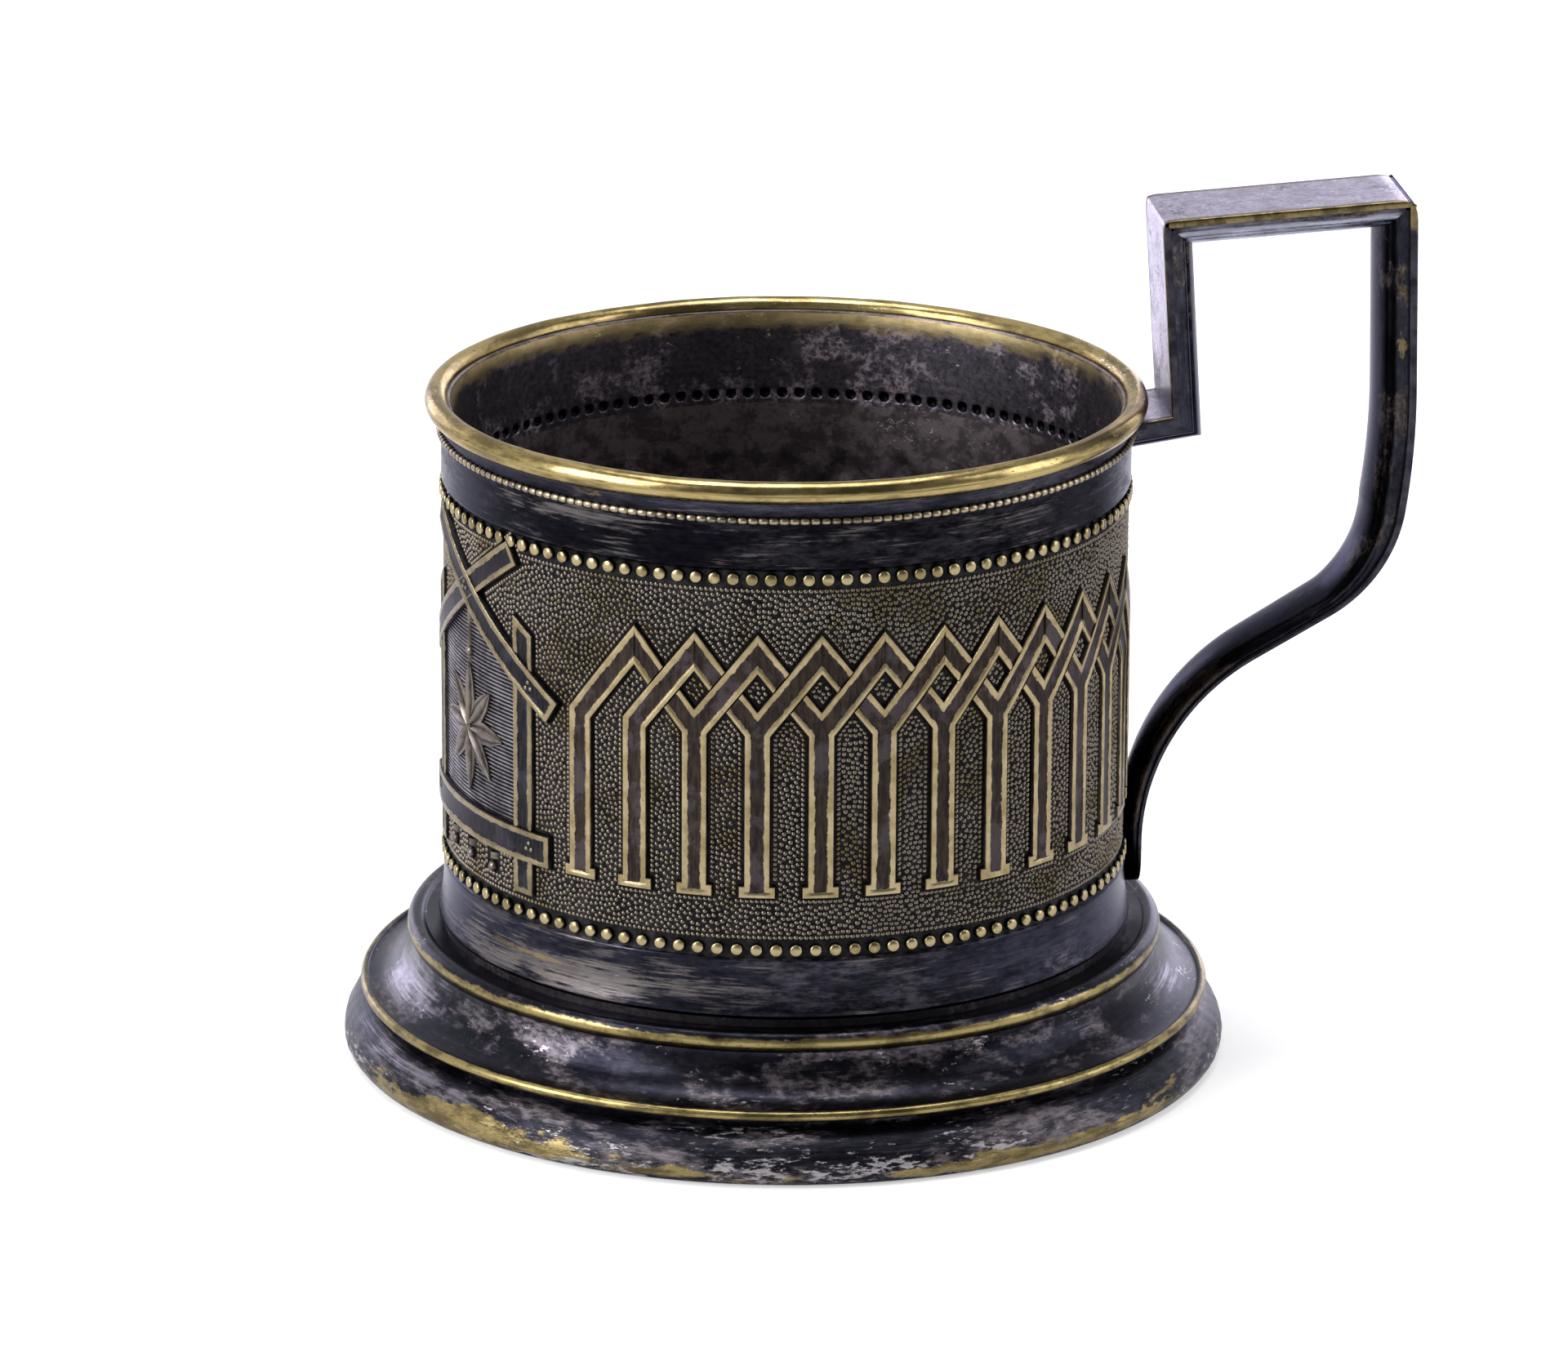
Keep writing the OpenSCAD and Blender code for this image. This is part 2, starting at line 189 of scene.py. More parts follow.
def arc(centre, radius, start, end, steps):
    """Points of an arc from one angle to another, in degrees."""
    turn = np.radians(np.linspace(start, end, steps + 1))
    return [(centre[0] + radius * math.cos(a), centre[1] + radius * math.sin(a)) for a in turn]


def sagged(a, b, sag, shares):
    """Points from a to b on a line that sags towards the axis."""
    return [(a[0] + (b[0] - a[0]) * t - sag * t * (1 - t), a[1] + (b[1] - a[1]) * t)
            for t in shares]


def rounded(points, radius, closed=False, steps=3):
    """Rounds each corner of a line with a small curve; nearly straight corners stay."""
    straight = 0.08
    made = []
    count = len(points)
    for i, here in enumerate(points):
        here = np.array(here, float)
        back = np.array(points[i - 1], float) - here
        on = np.array(points[(i + 1) % count], float) - here
        long_back, long_on = np.linalg.norm(back), np.linalg.norm(on)
        turned = abs(back[0] * on[1] - back[1] * on[0]) >= straight * long_back * long_on
        if not turned or (not closed and i in (0, count - 1)):
            made.append(tuple(here))
            continue
        reach = min(radius, 0.45 * long_back, 0.45 * long_on)
        a, b = here + back / long_back * reach, here + on / long_on * reach
        for t in np.arange(steps + 1) / steps:
            made.append(tuple((1 - t) ** 2 * a + 2 * t * (1 - t) * here + t ** 2 * b))
    return made


def lathe(rows, columns):
    """Turns rows of (radius, height, finer) round the axis, finer being how many times the
    columns are split. Returns points, faces, and the lathe vector: millimetres along the
    section, then the direction round the axis."""
    points, along, faces, starts, counts = [], [], [], [], []
    run = 0.0
    for i, (radius, height, *finer) in enumerate(rows):
        if i:
            run += math.hypot(radius - rows[i - 1][0], height - rows[i - 1][1])
        count = columns * (finer[0] if finer else 1)
        turn = np.arange(count) * 2 * math.pi / count
        across, depth = np.cos(turn), np.sin(turn)
        starts.append(sum(counts))
        counts.append(count)
        points.append(np.stack([radius * across, radius * depth, np.full(count, height)], 1))
        along.append(np.stack([np.full(count, run), across, depth], 1))
    for a in range(len(rows)):
        b = (a + 1) % len(rows)
        faces += bridge(starts[a], counts[a], starts[b], counts[b])
    return np.concatenate(points), faces, np.concatenate(along)


def bridge(a, count_a, b, count_b):
    """Faces between two rings whose counts divide one another."""
    fewer = min(count_a, count_b)
    ka, kb = count_a // fewer, count_b // fewer
    faces = []
    for i in range(fewer):
        low = [a + (i * ka + k) % count_a for k in range(ka + 1)]
        high = [b + (i * kb + k) % count_b for k in range(kb + 1)]
        faces.append(low + high[::-1])
    return faces


def cylindric(points):
    """Radius, angle and height of each point."""
    x, y, z = points.T
    return np.hypot(x, y), np.arctan2(y, x), z


def pushed(points, push):
    """The points moved away from the axis."""
    turn = np.arctan2(points[:, 1], points[:, 0])
    return points + np.stack([push * np.cos(turn), push * np.sin(turn), 0 * turn], 1)


def bump_at(value, centre, width):
    """1 at the centre, falling off softly with the distance from it."""
    return np.exp(-((value - centre) / width) ** 2)


def side_bump(points, centre, width):
    """1 at an angle round the axis, falling off softly to both sides, in degrees."""
    turn = np.degrees(np.arctan2(points[:, 1], points[:, 0]))
    return bump_at((turn - centre + 180) % 360 - 180, 0, width)


def ramp(value, start, end):
    """0 before the start, 1 past the end."""
    return np.clip((value - start) / (end - start), 0, 1)


# Shaders

class Tree:
    """Adds nodes to a tree in few words."""

    def __init__(self, tree):
        self.tree = tree

    def add(self, kind, *inputs, out=0, **settings):
        """A node with its inputs filled; returns one of its outputs, or the node itself."""
        node = self.tree.nodes.new(kind)
        for key, value in settings.items():
            setattr(node, key, value)
        for key, value in inputs:
            self.put(node.inputs[key], value)
        return node.outputs[out] if out is not None else node

    def put(self, socket, value):
        """Links or sets a socket."""
        if isinstance(value, bpy.types.NodeSocket):
            self.tree.links.new(value, socket)
        elif isinstance(socket.default_value, (int, float)) or len(socket.default_value) != 4:
            socket.default_value = value
        else:
            socket.default_value = (*value[:3], 1.0)

    def maths(self, operation, a, b=0.0):
        return self.add("ShaderNodeMath", (0, a), (1, b), operation=operation)

    def span(self, value, low, high, to_low=0.0, to_high=1.0):
        """The value carried softly from one span to another."""
        return self.add("ShaderNodeMapRange", ("Value", value), ("From Min", low),
                        ("From Max", high), ("To Min", to_low), ("To Max", to_high),
                        interpolation_type="SMOOTHSTEP")

    def noise(self, vector, scale, detail=3.0, rough=0.55, seed=0.0):
        return self.add("ShaderNodeTexNoise", ("Vector", vector), ("W", seed), ("Scale", scale),
                        ("Detail", detail), ("Roughness", rough), noise_dimensions="4D")

    def mix(self, mask, a, b):
        """Colour a where the mask is 0, colour b where it is 1."""
        return self.add("ShaderNodeMix", (0, mask), (6, a), (7, b), out=2, data_type="RGBA")

    def stretch(self, vector, factors):
        return self.add("ShaderNodeVectorMath", (0, vector), (1, factors), operation="MULTIPLY")

    def attribute(self, name, out=2):
        return self.add("ShaderNodeAttribute", out=out, attribute_name=name)

    def group(self, name, out, *inputs):
        """A use of a node group, or one of its outputs."""
        node = self.tree.nodes.new("ShaderNodeGroup")
        node.node_tree = bpy.data.node_groups[name]
        for key, value in inputs:
            self.put(node.inputs[key], value)
        return node.outputs if out is None else node.outputs[out]

    def dent(self, height, strength, depth):
        """A normal bent by a height, the depth in millimetres."""
        return self.add("ShaderNodeBump", ("Strength", strength), ("Distance", depth * MM),
                        ("Height", height))


def shader_group(name, inputs, outputs):
    """A new shader node group, ready to be filled; its outputs are single values."""
    group = bpy.data.node_groups.new(name, "ShaderNodeTree")
    for label, default in inputs:
        kind = "NodeSocketVector" if default is None else "NodeSocketFloat"
        socket = group.interface.new_socket(label, in_out="INPUT", socket_type=kind)
        if default is not None:
            socket.default_value = default
    for label in outputs:
        group.interface.new_socket(label, in_out="OUTPUT", socket_type="NodeSocketFloat")
    given = group.nodes.new("NodeGroupInput").outputs
    put = group.nodes.new("NodeGroupOutput").inputs
    return Tree(group), given, put


def film_group():
    """Masks of an old film on plated brass: blotches, fine cloud, pale flecks and scratches."""
    tree, given, put = shader_group(
        "Old film", [("Place", None), ("Scratch place", None), ("Blotch size", 6.0),
                     ("Fleck size", 0.5), ("Fleck amount", 0.3), ("Seed", 0.0)],
        ["Blotch", "Cloud", "Fleck", "Scratch"])
    place, seed = given["Place"], given["Seed"]
    scale = tree.maths("DIVIDE", 1.0, given["Blotch size"])

    def layer(times, detail, rough, shift):
        return tree.noise(place, tree.maths("MULTIPLY", scale, times), detail, rough,
                          tree.maths("ADD", seed, shift))

    tree.put(put["Blotch"], tree.span(layer(1.0, 9.0, 0.68, 0.0), 0.505, 0.585))
    tree.put(put["Cloud"], tree.span(layer(2.6, 7.0, 0.66, 3.7), 0.34, 0.68))
    grain = tree.noise(place, tree.maths("DIVIDE", 1.0, given["Fleck size"]), 5.0, 0.7,
                       tree.maths("ADD", seed, 9.1))
    crowd = tree.maths("SUBTRACT", layer(1.4, 5.0, 0.6, 5.3), 0.5)
    level = tree.maths("ADD", grain, tree.maths("MULTIPLY", crowd, 0.8))
    limit = tree.maths("SUBTRACT", 0.72, tree.maths("MULTIPLY", given["Fleck amount"], 0.25))
    tree.put(put["Fleck"], tree.span(tree.maths("SUBTRACT", level, limit), 0.0, 0.11))
    scratch = tree.noise(given["Scratch place"], 1.0, 5.0, 0.7, tree.maths("ADD", seed, 1.9))
    tree.put(put["Scratch"], tree.span(scratch, 0.34, 0.70))


def wear_group():
    """Where the plating is worn off: a painted wear value broken up by noise."""
    tree, given, put = shader_group(
        "Worn edge", [("Wear", 0.0), ("Place", None), ("Break-up size", 2.0), ("Break-up", 0.6),
                      ("Seed", 0.0)], ["Worn"])

    def layer(times, detail, rough):
        return tree.noise(given["Place"], tree.maths("DIVIDE", times, given["Break-up size"]),
                          detail, rough, given["Seed"])

    both = tree.maths("ADD", tree.maths("MULTIPLY", layer(1.0, 8.0, 0.7), 0.7),
                      tree.maths("MULTIPLY", layer(0.22, 2.0, 0.5), 0.3))
    shifted = tree.maths("MULTIPLY", tree.maths("SUBTRACT", both, 0.5), given["Break-up"])
    tree.put(put["Worn"], tree.span(tree.maths("ADD", given["Wear"], shifted), 0.42, 0.58))


def metal(name, edge):
    """A new metal material, with the tint of its grazing reflections; places in millimetres."""
    material = bpy.data.materials.new(name)
    material.use_nodes = True
    tree = Tree(material.node_tree)
    shader = material.node_tree.nodes["Principled BSDF"].inputs
    shader["Metallic"].default_value = 1.0
    tree.put(shader["Specular Tint"], edge)
    place = tree.stretch(tree.add("ShaderNodeTexCoord", out=3), (1 / MM, 1 / MM, 1 / MM))
    return tree, shader, place


def old_film(tree, place, scratch_place, blotch, fleck, fleck_amount, seed):
    return tree.group("Old film", None, ("Place", place), ("Scratch place", scratch_place),
                      ("Blotch size", blotch), ("Fleck size", fleck),
                      ("Fleck amount", fleck_amount), ("Seed", seed))


def film_material(name, colours, blotch=7.0, fleck=0.45, fleck_amount=0.3, seed=0.0, wear="wear",
                  turned="lathe", drawn=(1.0, 20.0, 20.0), scratch=(9.0, 5.0, 5.0),
                  steel_share=0.8, patch_share=0.8, streak=0.35, rough=(0.30, 0.24),
                  wear_break=(2.5, 0.8), pit=0.25, pit_depth=0.05, crust=None, second=None,
                  edge=(0.78, 0.78, 0.83), grit=(0.60, 1.40)):
    """Tarnished plating: dark film, blue-grey bloom, worn patches, flecks, and brass where it
    is worn. Painted attributes: level, painted light and shade in stops; wear; sunk, the pits'
    black, partly oxide in them and partly painted shade; crust; and the mask of the second finish."""
    dark, steel, patch, bloom, brass = colours
    tree, shader, place = metal(name, edge)
    scratch_place = place
    if turned:
        scratch_place = tree.attribute(turned, 1)
        place = tree.stretch(scratch_place, drawn)
    if crust:
        fleck_amount = tree.maths("ADD", fleck_amount, tree.attribute(crust))
    film = old_film(tree, place, tree.stretch(scratch_place, scratch), blotch, fleck,
                    fleck_amount, seed)
    grain = tree.noise(place, 1.8, 6.0, 0.7, seed)
    tone = tree.mix(tree.maths("MULTIPLY", film["Cloud"], steel_share), dark, steel)
    tone = tree.mix(tree.maths("MULTIPLY", film["Scratch"], streak), tone, steel)
    ragged = tree.maths("MULTIPLY", film["Blotch"], tree.span(grain, 0.40, 0.58, 0.25, 1.0))
    tone = tree.mix(tree.maths("MULTIPLY", ragged, patch_share), tone, patch)
    # Level: painted light and shade in stops, times a random grain of tone.
    level = tree.maths("MULTIPLY", tree.maths("POWER", 2.0, tree.attribute("level")),
                       tree.span(grain, 0.30, 0.70, *grit))
    tone = tree.add("ShaderNodeVectorMath", (0, tone), ("Scale", level), operation="SCALE")
    tone = tree.mix(tree.maths("MULTIPLY", film["Fleck"], 0.8), tone, bloom)
    roughness = tree.span(ragged, 0.0, 1.0, rough[0], rough[0] + 0.14)
    # The second finish over its mask: painted sheen on the bands, skirt and ring, painted reflection
    # on the rim, painted shade on the strap, a painted highlight on the moulding, and a gold band
    # inside the bore.
    if second:
        painted, thick, thin, fade, ragged_share = second
        wisps = tree.maths("ADD", film["Cloud"], tree.maths("MULTIPLY", film["Scratch"], 0.8))
        shift = tree.maths("MULTIPLY", tree.maths("SUBTRACT", wisps, 0.9), ragged_share)
        mask = tree.span(tree.maths("ADD", tree.attribute(painted), shift), *fade)
        tone = tree.mix(mask, tone, tree.mix(film["Cloud"], thick, thin))
    # Sunk: the pits behind the pearls made black, partly oxide in them and partly painted shade.
    if turned == "lathe":
        tone = tree.mix(tree.span(tree.attribute("sunk"), 0.02, 0.12), tone, (0.004, 0.004, 0.005))
    if wear:
        worn = tree.group("Worn edge", "Worn", ("Wear", tree.attribute(wear)), ("Place", place),
                          ("Break-up size", wear_break[0]), ("Break-up", wear_break[1]),
                          ("Seed", seed + 20.0))
        fine = tree.noise(place, 3.6, 6.0, 0.75, seed + 7.0)
        worn = tree.maths("MULTIPLY", worn, tree.span(fine, 0.34, 0.45))
        stain = tree.span(tree.maths("ADD", grain, film["Cloud"]), 0.55, 1.25, 0.9, 0.0)
        tone = tree.mix(worn, tone, tree.mix(stain, brass, tuple(0.34 * c for c in brass)))
        roughness = tree.span(worn, 0.0, 1.0, roughness, rough[1])
    tree.put(shader["Base Color"], tone)
    tree.put(shader["Roughness"], roughness)
    relief = tree.maths("MULTIPLY", tree.maths("ADD", film["Scratch"], grain), 0.3)
    height = tree.maths("ADD", relief, tree.maths("MULTIPLY", film["Fleck"], -1.0))
    tree.put(shader["Normal"], tree.dent(height, pit, pit_depth))


def ribbon_material(name, centre, border, seed):
    """Ribbons: a bright worn border over a sunk dark centre."""
    tree, shader, place = metal(name, (0.74, 0.73, 0.78))
    film = old_film(tree, place, tree.stretch(place, (3.0, 3.0, 0.5)), 5.0, 0.3, 0.15, seed)
    worn = tree.group("Worn edge", "Worn", ("Wear", tree.attribute("wear")), ("Place", place),
                      ("Break-up size", 1.0), ("Break-up", 1.5), ("Seed", seed + 3.0))
    dark = tree.mix(tree.maths("MULTIPLY", film["Blotch"], 0.8), centre[0], centre[1])
    dark = tree.mix(tree.maths("MULTIPLY", film["Scratch"], 0.35), dark, centre[2])
    gold = tree.mix(tree.maths("MULTIPLY", film["Cloud"], 0.9), border[0], border[1])
    gold = tree.mix(tree.maths("MULTIPLY", film["Fleck"], 0.7), gold,
                    tuple(0.2 * c for c in border[1]))
    tree.put(shader["Base Color"], tree.mix(worn, dark, gold))
    tree.put(shader["Roughness"], tree.span(worn, 0.0, 1.0, 0.42, 0.27))
    tree.put(shader["Normal"], tree.dent(film["Scratch"], 0.2, 0.04))


def crown_material(name, bright, mottle, root, blotch, seed, shade):
    """Small domes: bright crowns over black roots, read from the crown attribute."""
    tree, shader, place = metal(name, (0.80, 0.78, 0.82))
    film = old_film(tree, place, place, blotch, 0.3, 0.1, seed)
    height = tree.attribute("crown")
    top = tree.mix(film["Blotch"], bright, mottle)
    shift = tree.maths("MULTIPLY", tree.maths("SUBTRACT", film["Cloud"], 0.5), 0.25)
    lift = tree.span(tree.maths("ADD", height, shift), *shade)
    tree.put(shader["Base Color"], tree.mix(lift, root, top))
    tree.put(shader["Roughness"], tree.span(height, 0.0, 1.0, 0.55, 0.28))


def make_materials(finish):
    """All finishes, each made once and found by name. Film colours run from the dark film
    over steel, patches and flecks to the worn metal."""
    film_group()
    wear_group()
    film, steel, bloom, soot, brass = (tuple(getattr(finish, key)) for key in
                                       ("film", "steel", "bloom", "soot", "brass"))
    # The bands' second finish is a painted sheen, pale on their front left.
    film_material("band_film", (film, (0.0150, 0.0150, 0.0215), (0.054, 0.050, 0.062),
                                (0.16, 0.15, 0.18), (0.17, 0.13, 0.065)),
                  7.0, 0.4, 0.0, 2.0, drawn=(1.0, 11.0, 11.0), scratch=(3.5, 6.0, 6.0),
                  steel_share=0.7, patch_share=0.6, streak=0.9, rough=(0.25, 0.30),
                  wear_break=(1.0, 1.3), edge=(0.70, 0.70, 0.78), grit=(0.45, 1.55),
                  second=("tint", (0.200, 0.176, 0.158), (0.082, 0.074, 0.076), (0.2, 1.1), 1.2))
    film_material("bore_film", ((0.062, 0.056, 0.070), (0.100, 0.088, 0.104), (0.235, 0.200, 0.225),
                                (0.42, 0.39, 0.42), (0.24, 0.20, 0.205)),
                  6.0, 0.7, 0.22, 5.0, drawn=(1.0, 30.0, 30.0), scratch=(0.8, 8.0, 8.0),
                  patch_share=0.9, rough=(0.44, 0.44), wear_break=(1.6, 0.9), pit=0.5,
                  edge=(0.9, 0.88, 0.92), grit=(0.5, 1.5),
                  second=("tint", (0.56, 0.44, 0.22), (0.30, 0.235, 0.115), (0.15, 0.75), 0.35))
    film_material("ground_soot", (soot, (0.02, 0.019, 0.02), (0.03, 0.028, 0.03),
                                  (0.06, 0.055, 0.05), brass),
                  5.0, 0.3, 0.1, 8.0, wear=None, turned=None, rough=(0.55, 0.4))
    # The foot's second finish is a painted sheen, lavender on the hollow moulding's left and right.
    film_material("foot_film", (film, steel, (0.095, 0.082, 0.092), bloom, (0.27, 0.212, 0.088)),
                  5.5, 0.42, 0.26, 11.0, scratch=(4.0, 2.5, 2.5), patch_share=0.9,
                  rough=(0.29, 0.30), wear_break=(0.8, 1.0), pit=0.14,
                  second=("tint", (0.34, 0.31, 0.37), (0.13, 0.12, 0.145), (0.25, 0.9), 0.7))
    # The ring's second finish is a painted sheen, lavender on the left of its top.
    film_material("ring_film", (film, steel, (0.100, 0.088, 0.096), (0.38, 0.355, 0.365),
                                (0.24, 0.185, 0.080)),
                  5.0, 0.45, 0.26, 14.0, drawn=(1.0, 14.0, 14.0), scratch=(4.0, 3.0, 3.0),
                  patch_share=0.95, rough=(0.34, 0.32), wear_break=(1.3, 2.8), pit=0.8,
                  pit_depth=0.10, crust="crust",
                  second=("tint", (0.30, 0.275, 0.33), (0.11, 0.10, 0.125), (0.25, 0.9), 0.7))
    film_material("seat_film", (tuple(finish.brown), (0.05, 0.046, 0.05), (0.08, 0.072, 0.075),
                                bloom, brass),
                  10.0, 0.6, 0.15, 17.0, wear=None, turned=None, rough=(0.50, 0.35))
    # The rim's second finish is a painted reflection, whitish on its ends, its back and the lower
    # half of its front.
    film_material("rim_brass", ((0.075, 0.050, 0.024), (0.17, 0.125, 0.060), (0.19, 0.155, 0.10),
                                (0.5, 0.46, 0.40), (0.35, 0.27, 0.115)),
                  8.0, 0.35, 0.16, 21.0, drawn=(1.0, 12.0, 12.0), scratch=(5.0, 3.0, 3.0),
                  rough=(0.26, 0.21), wear_break=(1.0, 1.4), edge=(0.8, 0.75, 0.7),
                  grit=(0.85, 1.15),
                  second=("pale", (0.80, 0.77, 0.82), (0.50, 0.46, 0.47), (0.35, 0.75), 0.6))
    # The strap's second finish is a painted shade, dark on its sides and on parts of its face.
    film_material("strap_plating", ((0.66, 0.61, 0.79), (0.50, 0.45, 0.60), (0.31, 0.265, 0.36),
                                    (0.05, 0.042, 0.05), (0.175, 0.132, 0.064)),
                  5.0, 0.40, 0.62, 25.0, turned="bar", drawn=(1.0, 1.0, 1.0),
                  scratch=(0.30, 4.0, 4.0), patch_share=0.75, rough=(0.30, 0.30),
                  wear_break=(1.1, 0.9), edge=(0.85, 0.84, 0.9), grit=(0.58, 1.40), pit_depth=0.04,
                  second=("dull", (0.016, 0.015, 0.020), (0.050, 0.046, 0.060), (0.0, 0.9), 0.12))
    # The moulding's second finish is a painted highlight, light on its underside along the top run.
    film_material("moulding_film", (film, steel, (0.072, 0.057, 0.050), (0.13, 0.12, 0.13),
                                    (0.135, 0.104, 0.056)),
                  6.0, 0.6, 0.10, 28.0, turned="bar", drawn=(0.6, 1.0, 1.0),
                  scratch=(0.25, 5.0, 5.0), streak=0.8, rough=(0.24, 0.34), wear_break=(0.9, 2.0),
                  edge=(0.62, 0.62, 0.70),
                  second=("painted_highlight", (0.40, 0.41, 0.50), (0.19, 0.19, 0.24), (0.2, 0.8), 0.3))
    ribbon_material("ribbon_brass", ((0.016, 0.012, 0.0135), (0.050, 0.041, 0.051),
                                     (0.085, 0.068, 0.042)),
                    ((0.34, 0.275, 0.160), (0.19, 0.147, 0.070)), 41.0)
    ribbon_material("board_brass", ((0.007, 0.008, 0.013), (0.027, 0.028, 0.040),
                                    (0.065, 0.054, 0.040)),
                    ((0.26, 0.21, 0.125), (0.13, 0.102, 0.058)), 61.0)
    for name, bright, mottle, root, blotch, seed, shade in (
            ("pearl_brass", (0.33, 0.27, 0.145), (0.19, 0.15, 0.070), soot, 5.0, 31.0,
             (0.45, 0.95)),
            ("bead_brass", (0.30, 0.25, 0.165), (0.15, 0.125, 0.09), soot, 7.0, 34.0, (0.1, 0.7)),
            ("pebble_plating", (0.146, 0.125, 0.099), (0.098, 0.078, 0.045), soot, 9.0, 37.0,
             (0.02, 0.52)),
            ("hatch_plating", (0.235, 0.222, 0.238), (0.135, 0.127, 0.135), soot, 6.0, 52.0,
             (0.1, 0.6)),
            ("flower_plating", (0.175, 0.150, 0.125), (0.100, 0.086, 0.074),
             (0.012, 0.010, 0.011), 5.0, 55.0, (0.15, 0.95))):
        crown_material(name, bright, mottle, root, blotch, seed, shade)


# Stage

LAMPS = (
    # name, place, height of its target, size, watts, tint
    ("lamp_left", (-0.75, -0.30, 0.42), 0.04, (0.5, 0.7), 10.0, (0.97, 0.97, 1.0)),
    ("lamp_right", (0.80, -0.15, 0.40), 0.04, (0.5, 0.7), 4.0, (0.96, 0.96, 1.0)),
    ("lamp_back_left", (-0.50, 0.90, 0.16), 0.04, (0.5, 0.6), 2.6, (0.88, 0.86, 1.0)),
    ("lamp_back_right", (0.50, 0.90, 0.16), 0.04, (0.5, 0.6), 2.5, (0.88, 0.86, 1.0)),
    ("lamp_top", (0.0, 0.10, 0.95), 0.03, (0.7, 0.5), 9.0, (1.0, 1.0, 1.0)),
)
CAMERA_PLACE = Vector((-0.09726, -0.81189, 0.29633))
CAMERA_YAW, CAMERA_PITCH, CAMERA_ROLL = 6.824, 17.445, 0.300
ROOM_HEADING = (-0.28, 0.80, -0.53)


def camera_matrix(place, yaw, pitch, roll):
    """Camera at a place, turned from +Y towards +X by yaw, down by pitch, and rolled."""
    yaw, pitch, roll = (math.radians(a) for a in (yaw, pitch, roll))
    ahead = Vector((math.sin(yaw) * math.cos(pitch), math.cos(yaw) * math.cos(pitch),
                    -math.sin(pitch)))
    right = Vector((math.cos(yaw), -math.sin(yaw), 0.0))
    up = right.cross(ahead)
    side = math.cos(roll) * right + math.sin(roll) * up
    top = -math.sin(roll) * right + math.cos(roll) * up
    return Matrix.Translation(place) @ Matrix((side, top, -ahead)).transposed().to_4x4()


class HOLDER_OT_stage(bpy.types.Operator):
    """Makes the floor, the lamps, the surroundings and the camera"""
    bl_idname = "holder.stage"
    bl_label = "Stage"

    def execute(self, context):
        stage = context.scene.holder_stage
        context.scene.view_settings.view_transform = "Standard"
        self.floor(stage)
        self.surroundings(context.scene, stage)
        for name, place, target, size, watts, tint in LAMPS:
            lamp = bpy.data.lights.new(name, "AREA")
            lamp.shape = "RECTANGLE"
            lamp.size, lamp.size_y = size
            lamp.energy = watts * stage.lamp_level
            lamp.color = tint
            made = bpy.data.objects.new(name, lamp)
            made.location = place
            heading = Vector((0, 0, target)) - Vector(place)
            made.rotation_euler = heading.to_track_quat("-Z", "Y").to_euler()
            context.scene.collection.objects.link(made)
        camera = bpy.data.cameras.new("camera")
        camera.lens = stage.lens
        camera.sensor_width = 36.0
        camera.clip_start, camera.clip_end = 0.05, 10.0
        made = bpy.data.objects.new("camera", camera)
        made.matrix_world = camera_matrix(CAMERA_PLACE, CAMERA_YAW, CAMERA_PITCH, CAMERA_ROLL)
        context.scene.collection.objects.link(made)
        context.scene.camera = made
        return {"FINISHED"}

    def floor(self, stage):
        """A wide round floor, white to the camera but for the holder's own shadow."""
        made = bmesh.new()
        bmesh.ops.create_circle(made, cap_ends=True, radius=4.0, segments=96)
        mesh = bpy.data.meshes.new("floor")
        made.to_mesh(mesh)
        made.free()
        floor = bpy.data.objects.new("floor", mesh)
        floor.location.z = -0.05 * MM
        bpy.context.scene.collection.objects.link(floor)
        material = bpy.data.materials.new("floor_paper")
        material.use_nodes = True
        tree = Tree(material.node_tree)
        nodes = material.node_tree.nodes
        paper = nodes["Principled BSDF"]
        paper.inputs["Roughness"].default_value = 0.9
        paper.inputs["Specular IOR Level"].default_value = 0.0
        paper.inputs["Base Color"].default_value = (*stage.floor, 1.0)
        glow = tree.add("ShaderNodeEmission", ("Color", (1.0, 1.0, 1.0)), ("Strength", 1.0))
        path = nodes.new("ShaderNodeLightPath").outputs
        mirrored = tree.maths("MAXIMUM", path["Is Glossy Ray"], path["Is Transmission Ray"])
        seen = tree.maths("MAXIMUM", path["Is Camera Ray"], mirrored)
        both = tree.add("ShaderNodeMixShader", (0, tree.maths("MULTIPLY", seen, 0.45)),
                        (1, paper.outputs[0]), (2, glow))
        tree.tree.links.new(both, nodes["Material Output"].inputs["Surface"])
        mesh.materials.append(material)

    def surroundings(self, scene, stage):
        """White surroundings, darker behind the camera, for the metal to reflect."""
        world = bpy.data.worlds.new("studio")
        world.use_nodes = True
        scene.world = world
        tree = Tree(world.node_tree)
        nodes = world.node_tree.nodes
        front = tree.add("ShaderNodeVectorMath", (0, tree.add("ShaderNodeTexCoord")),
                         (1, ROOM_HEADING), operation="DOT_PRODUCT", out=1)
        room = tree.span(front, -0.95, 0.25, stage.front_level, 1.0)
        path = nodes.new("ShaderNodeLightPath").outputs
        light = tree.add("ShaderNodeBackground", ("Color", (1.0, 1.0, 1.0)),
                         ("Strength", tree.maths("MAXIMUM", path["Is Camera Ray"], room)))
        tree.tree.links.new(light, nodes["World Output"].inputs["Surface"])


# Sleeve

SLEEVE_COLUMNS = 472
SLEEVE_FINISHES = ("band_film", "ground_soot", "bore_film")
BAND, GROUND, BORE = range(3)
FAR = 1e9


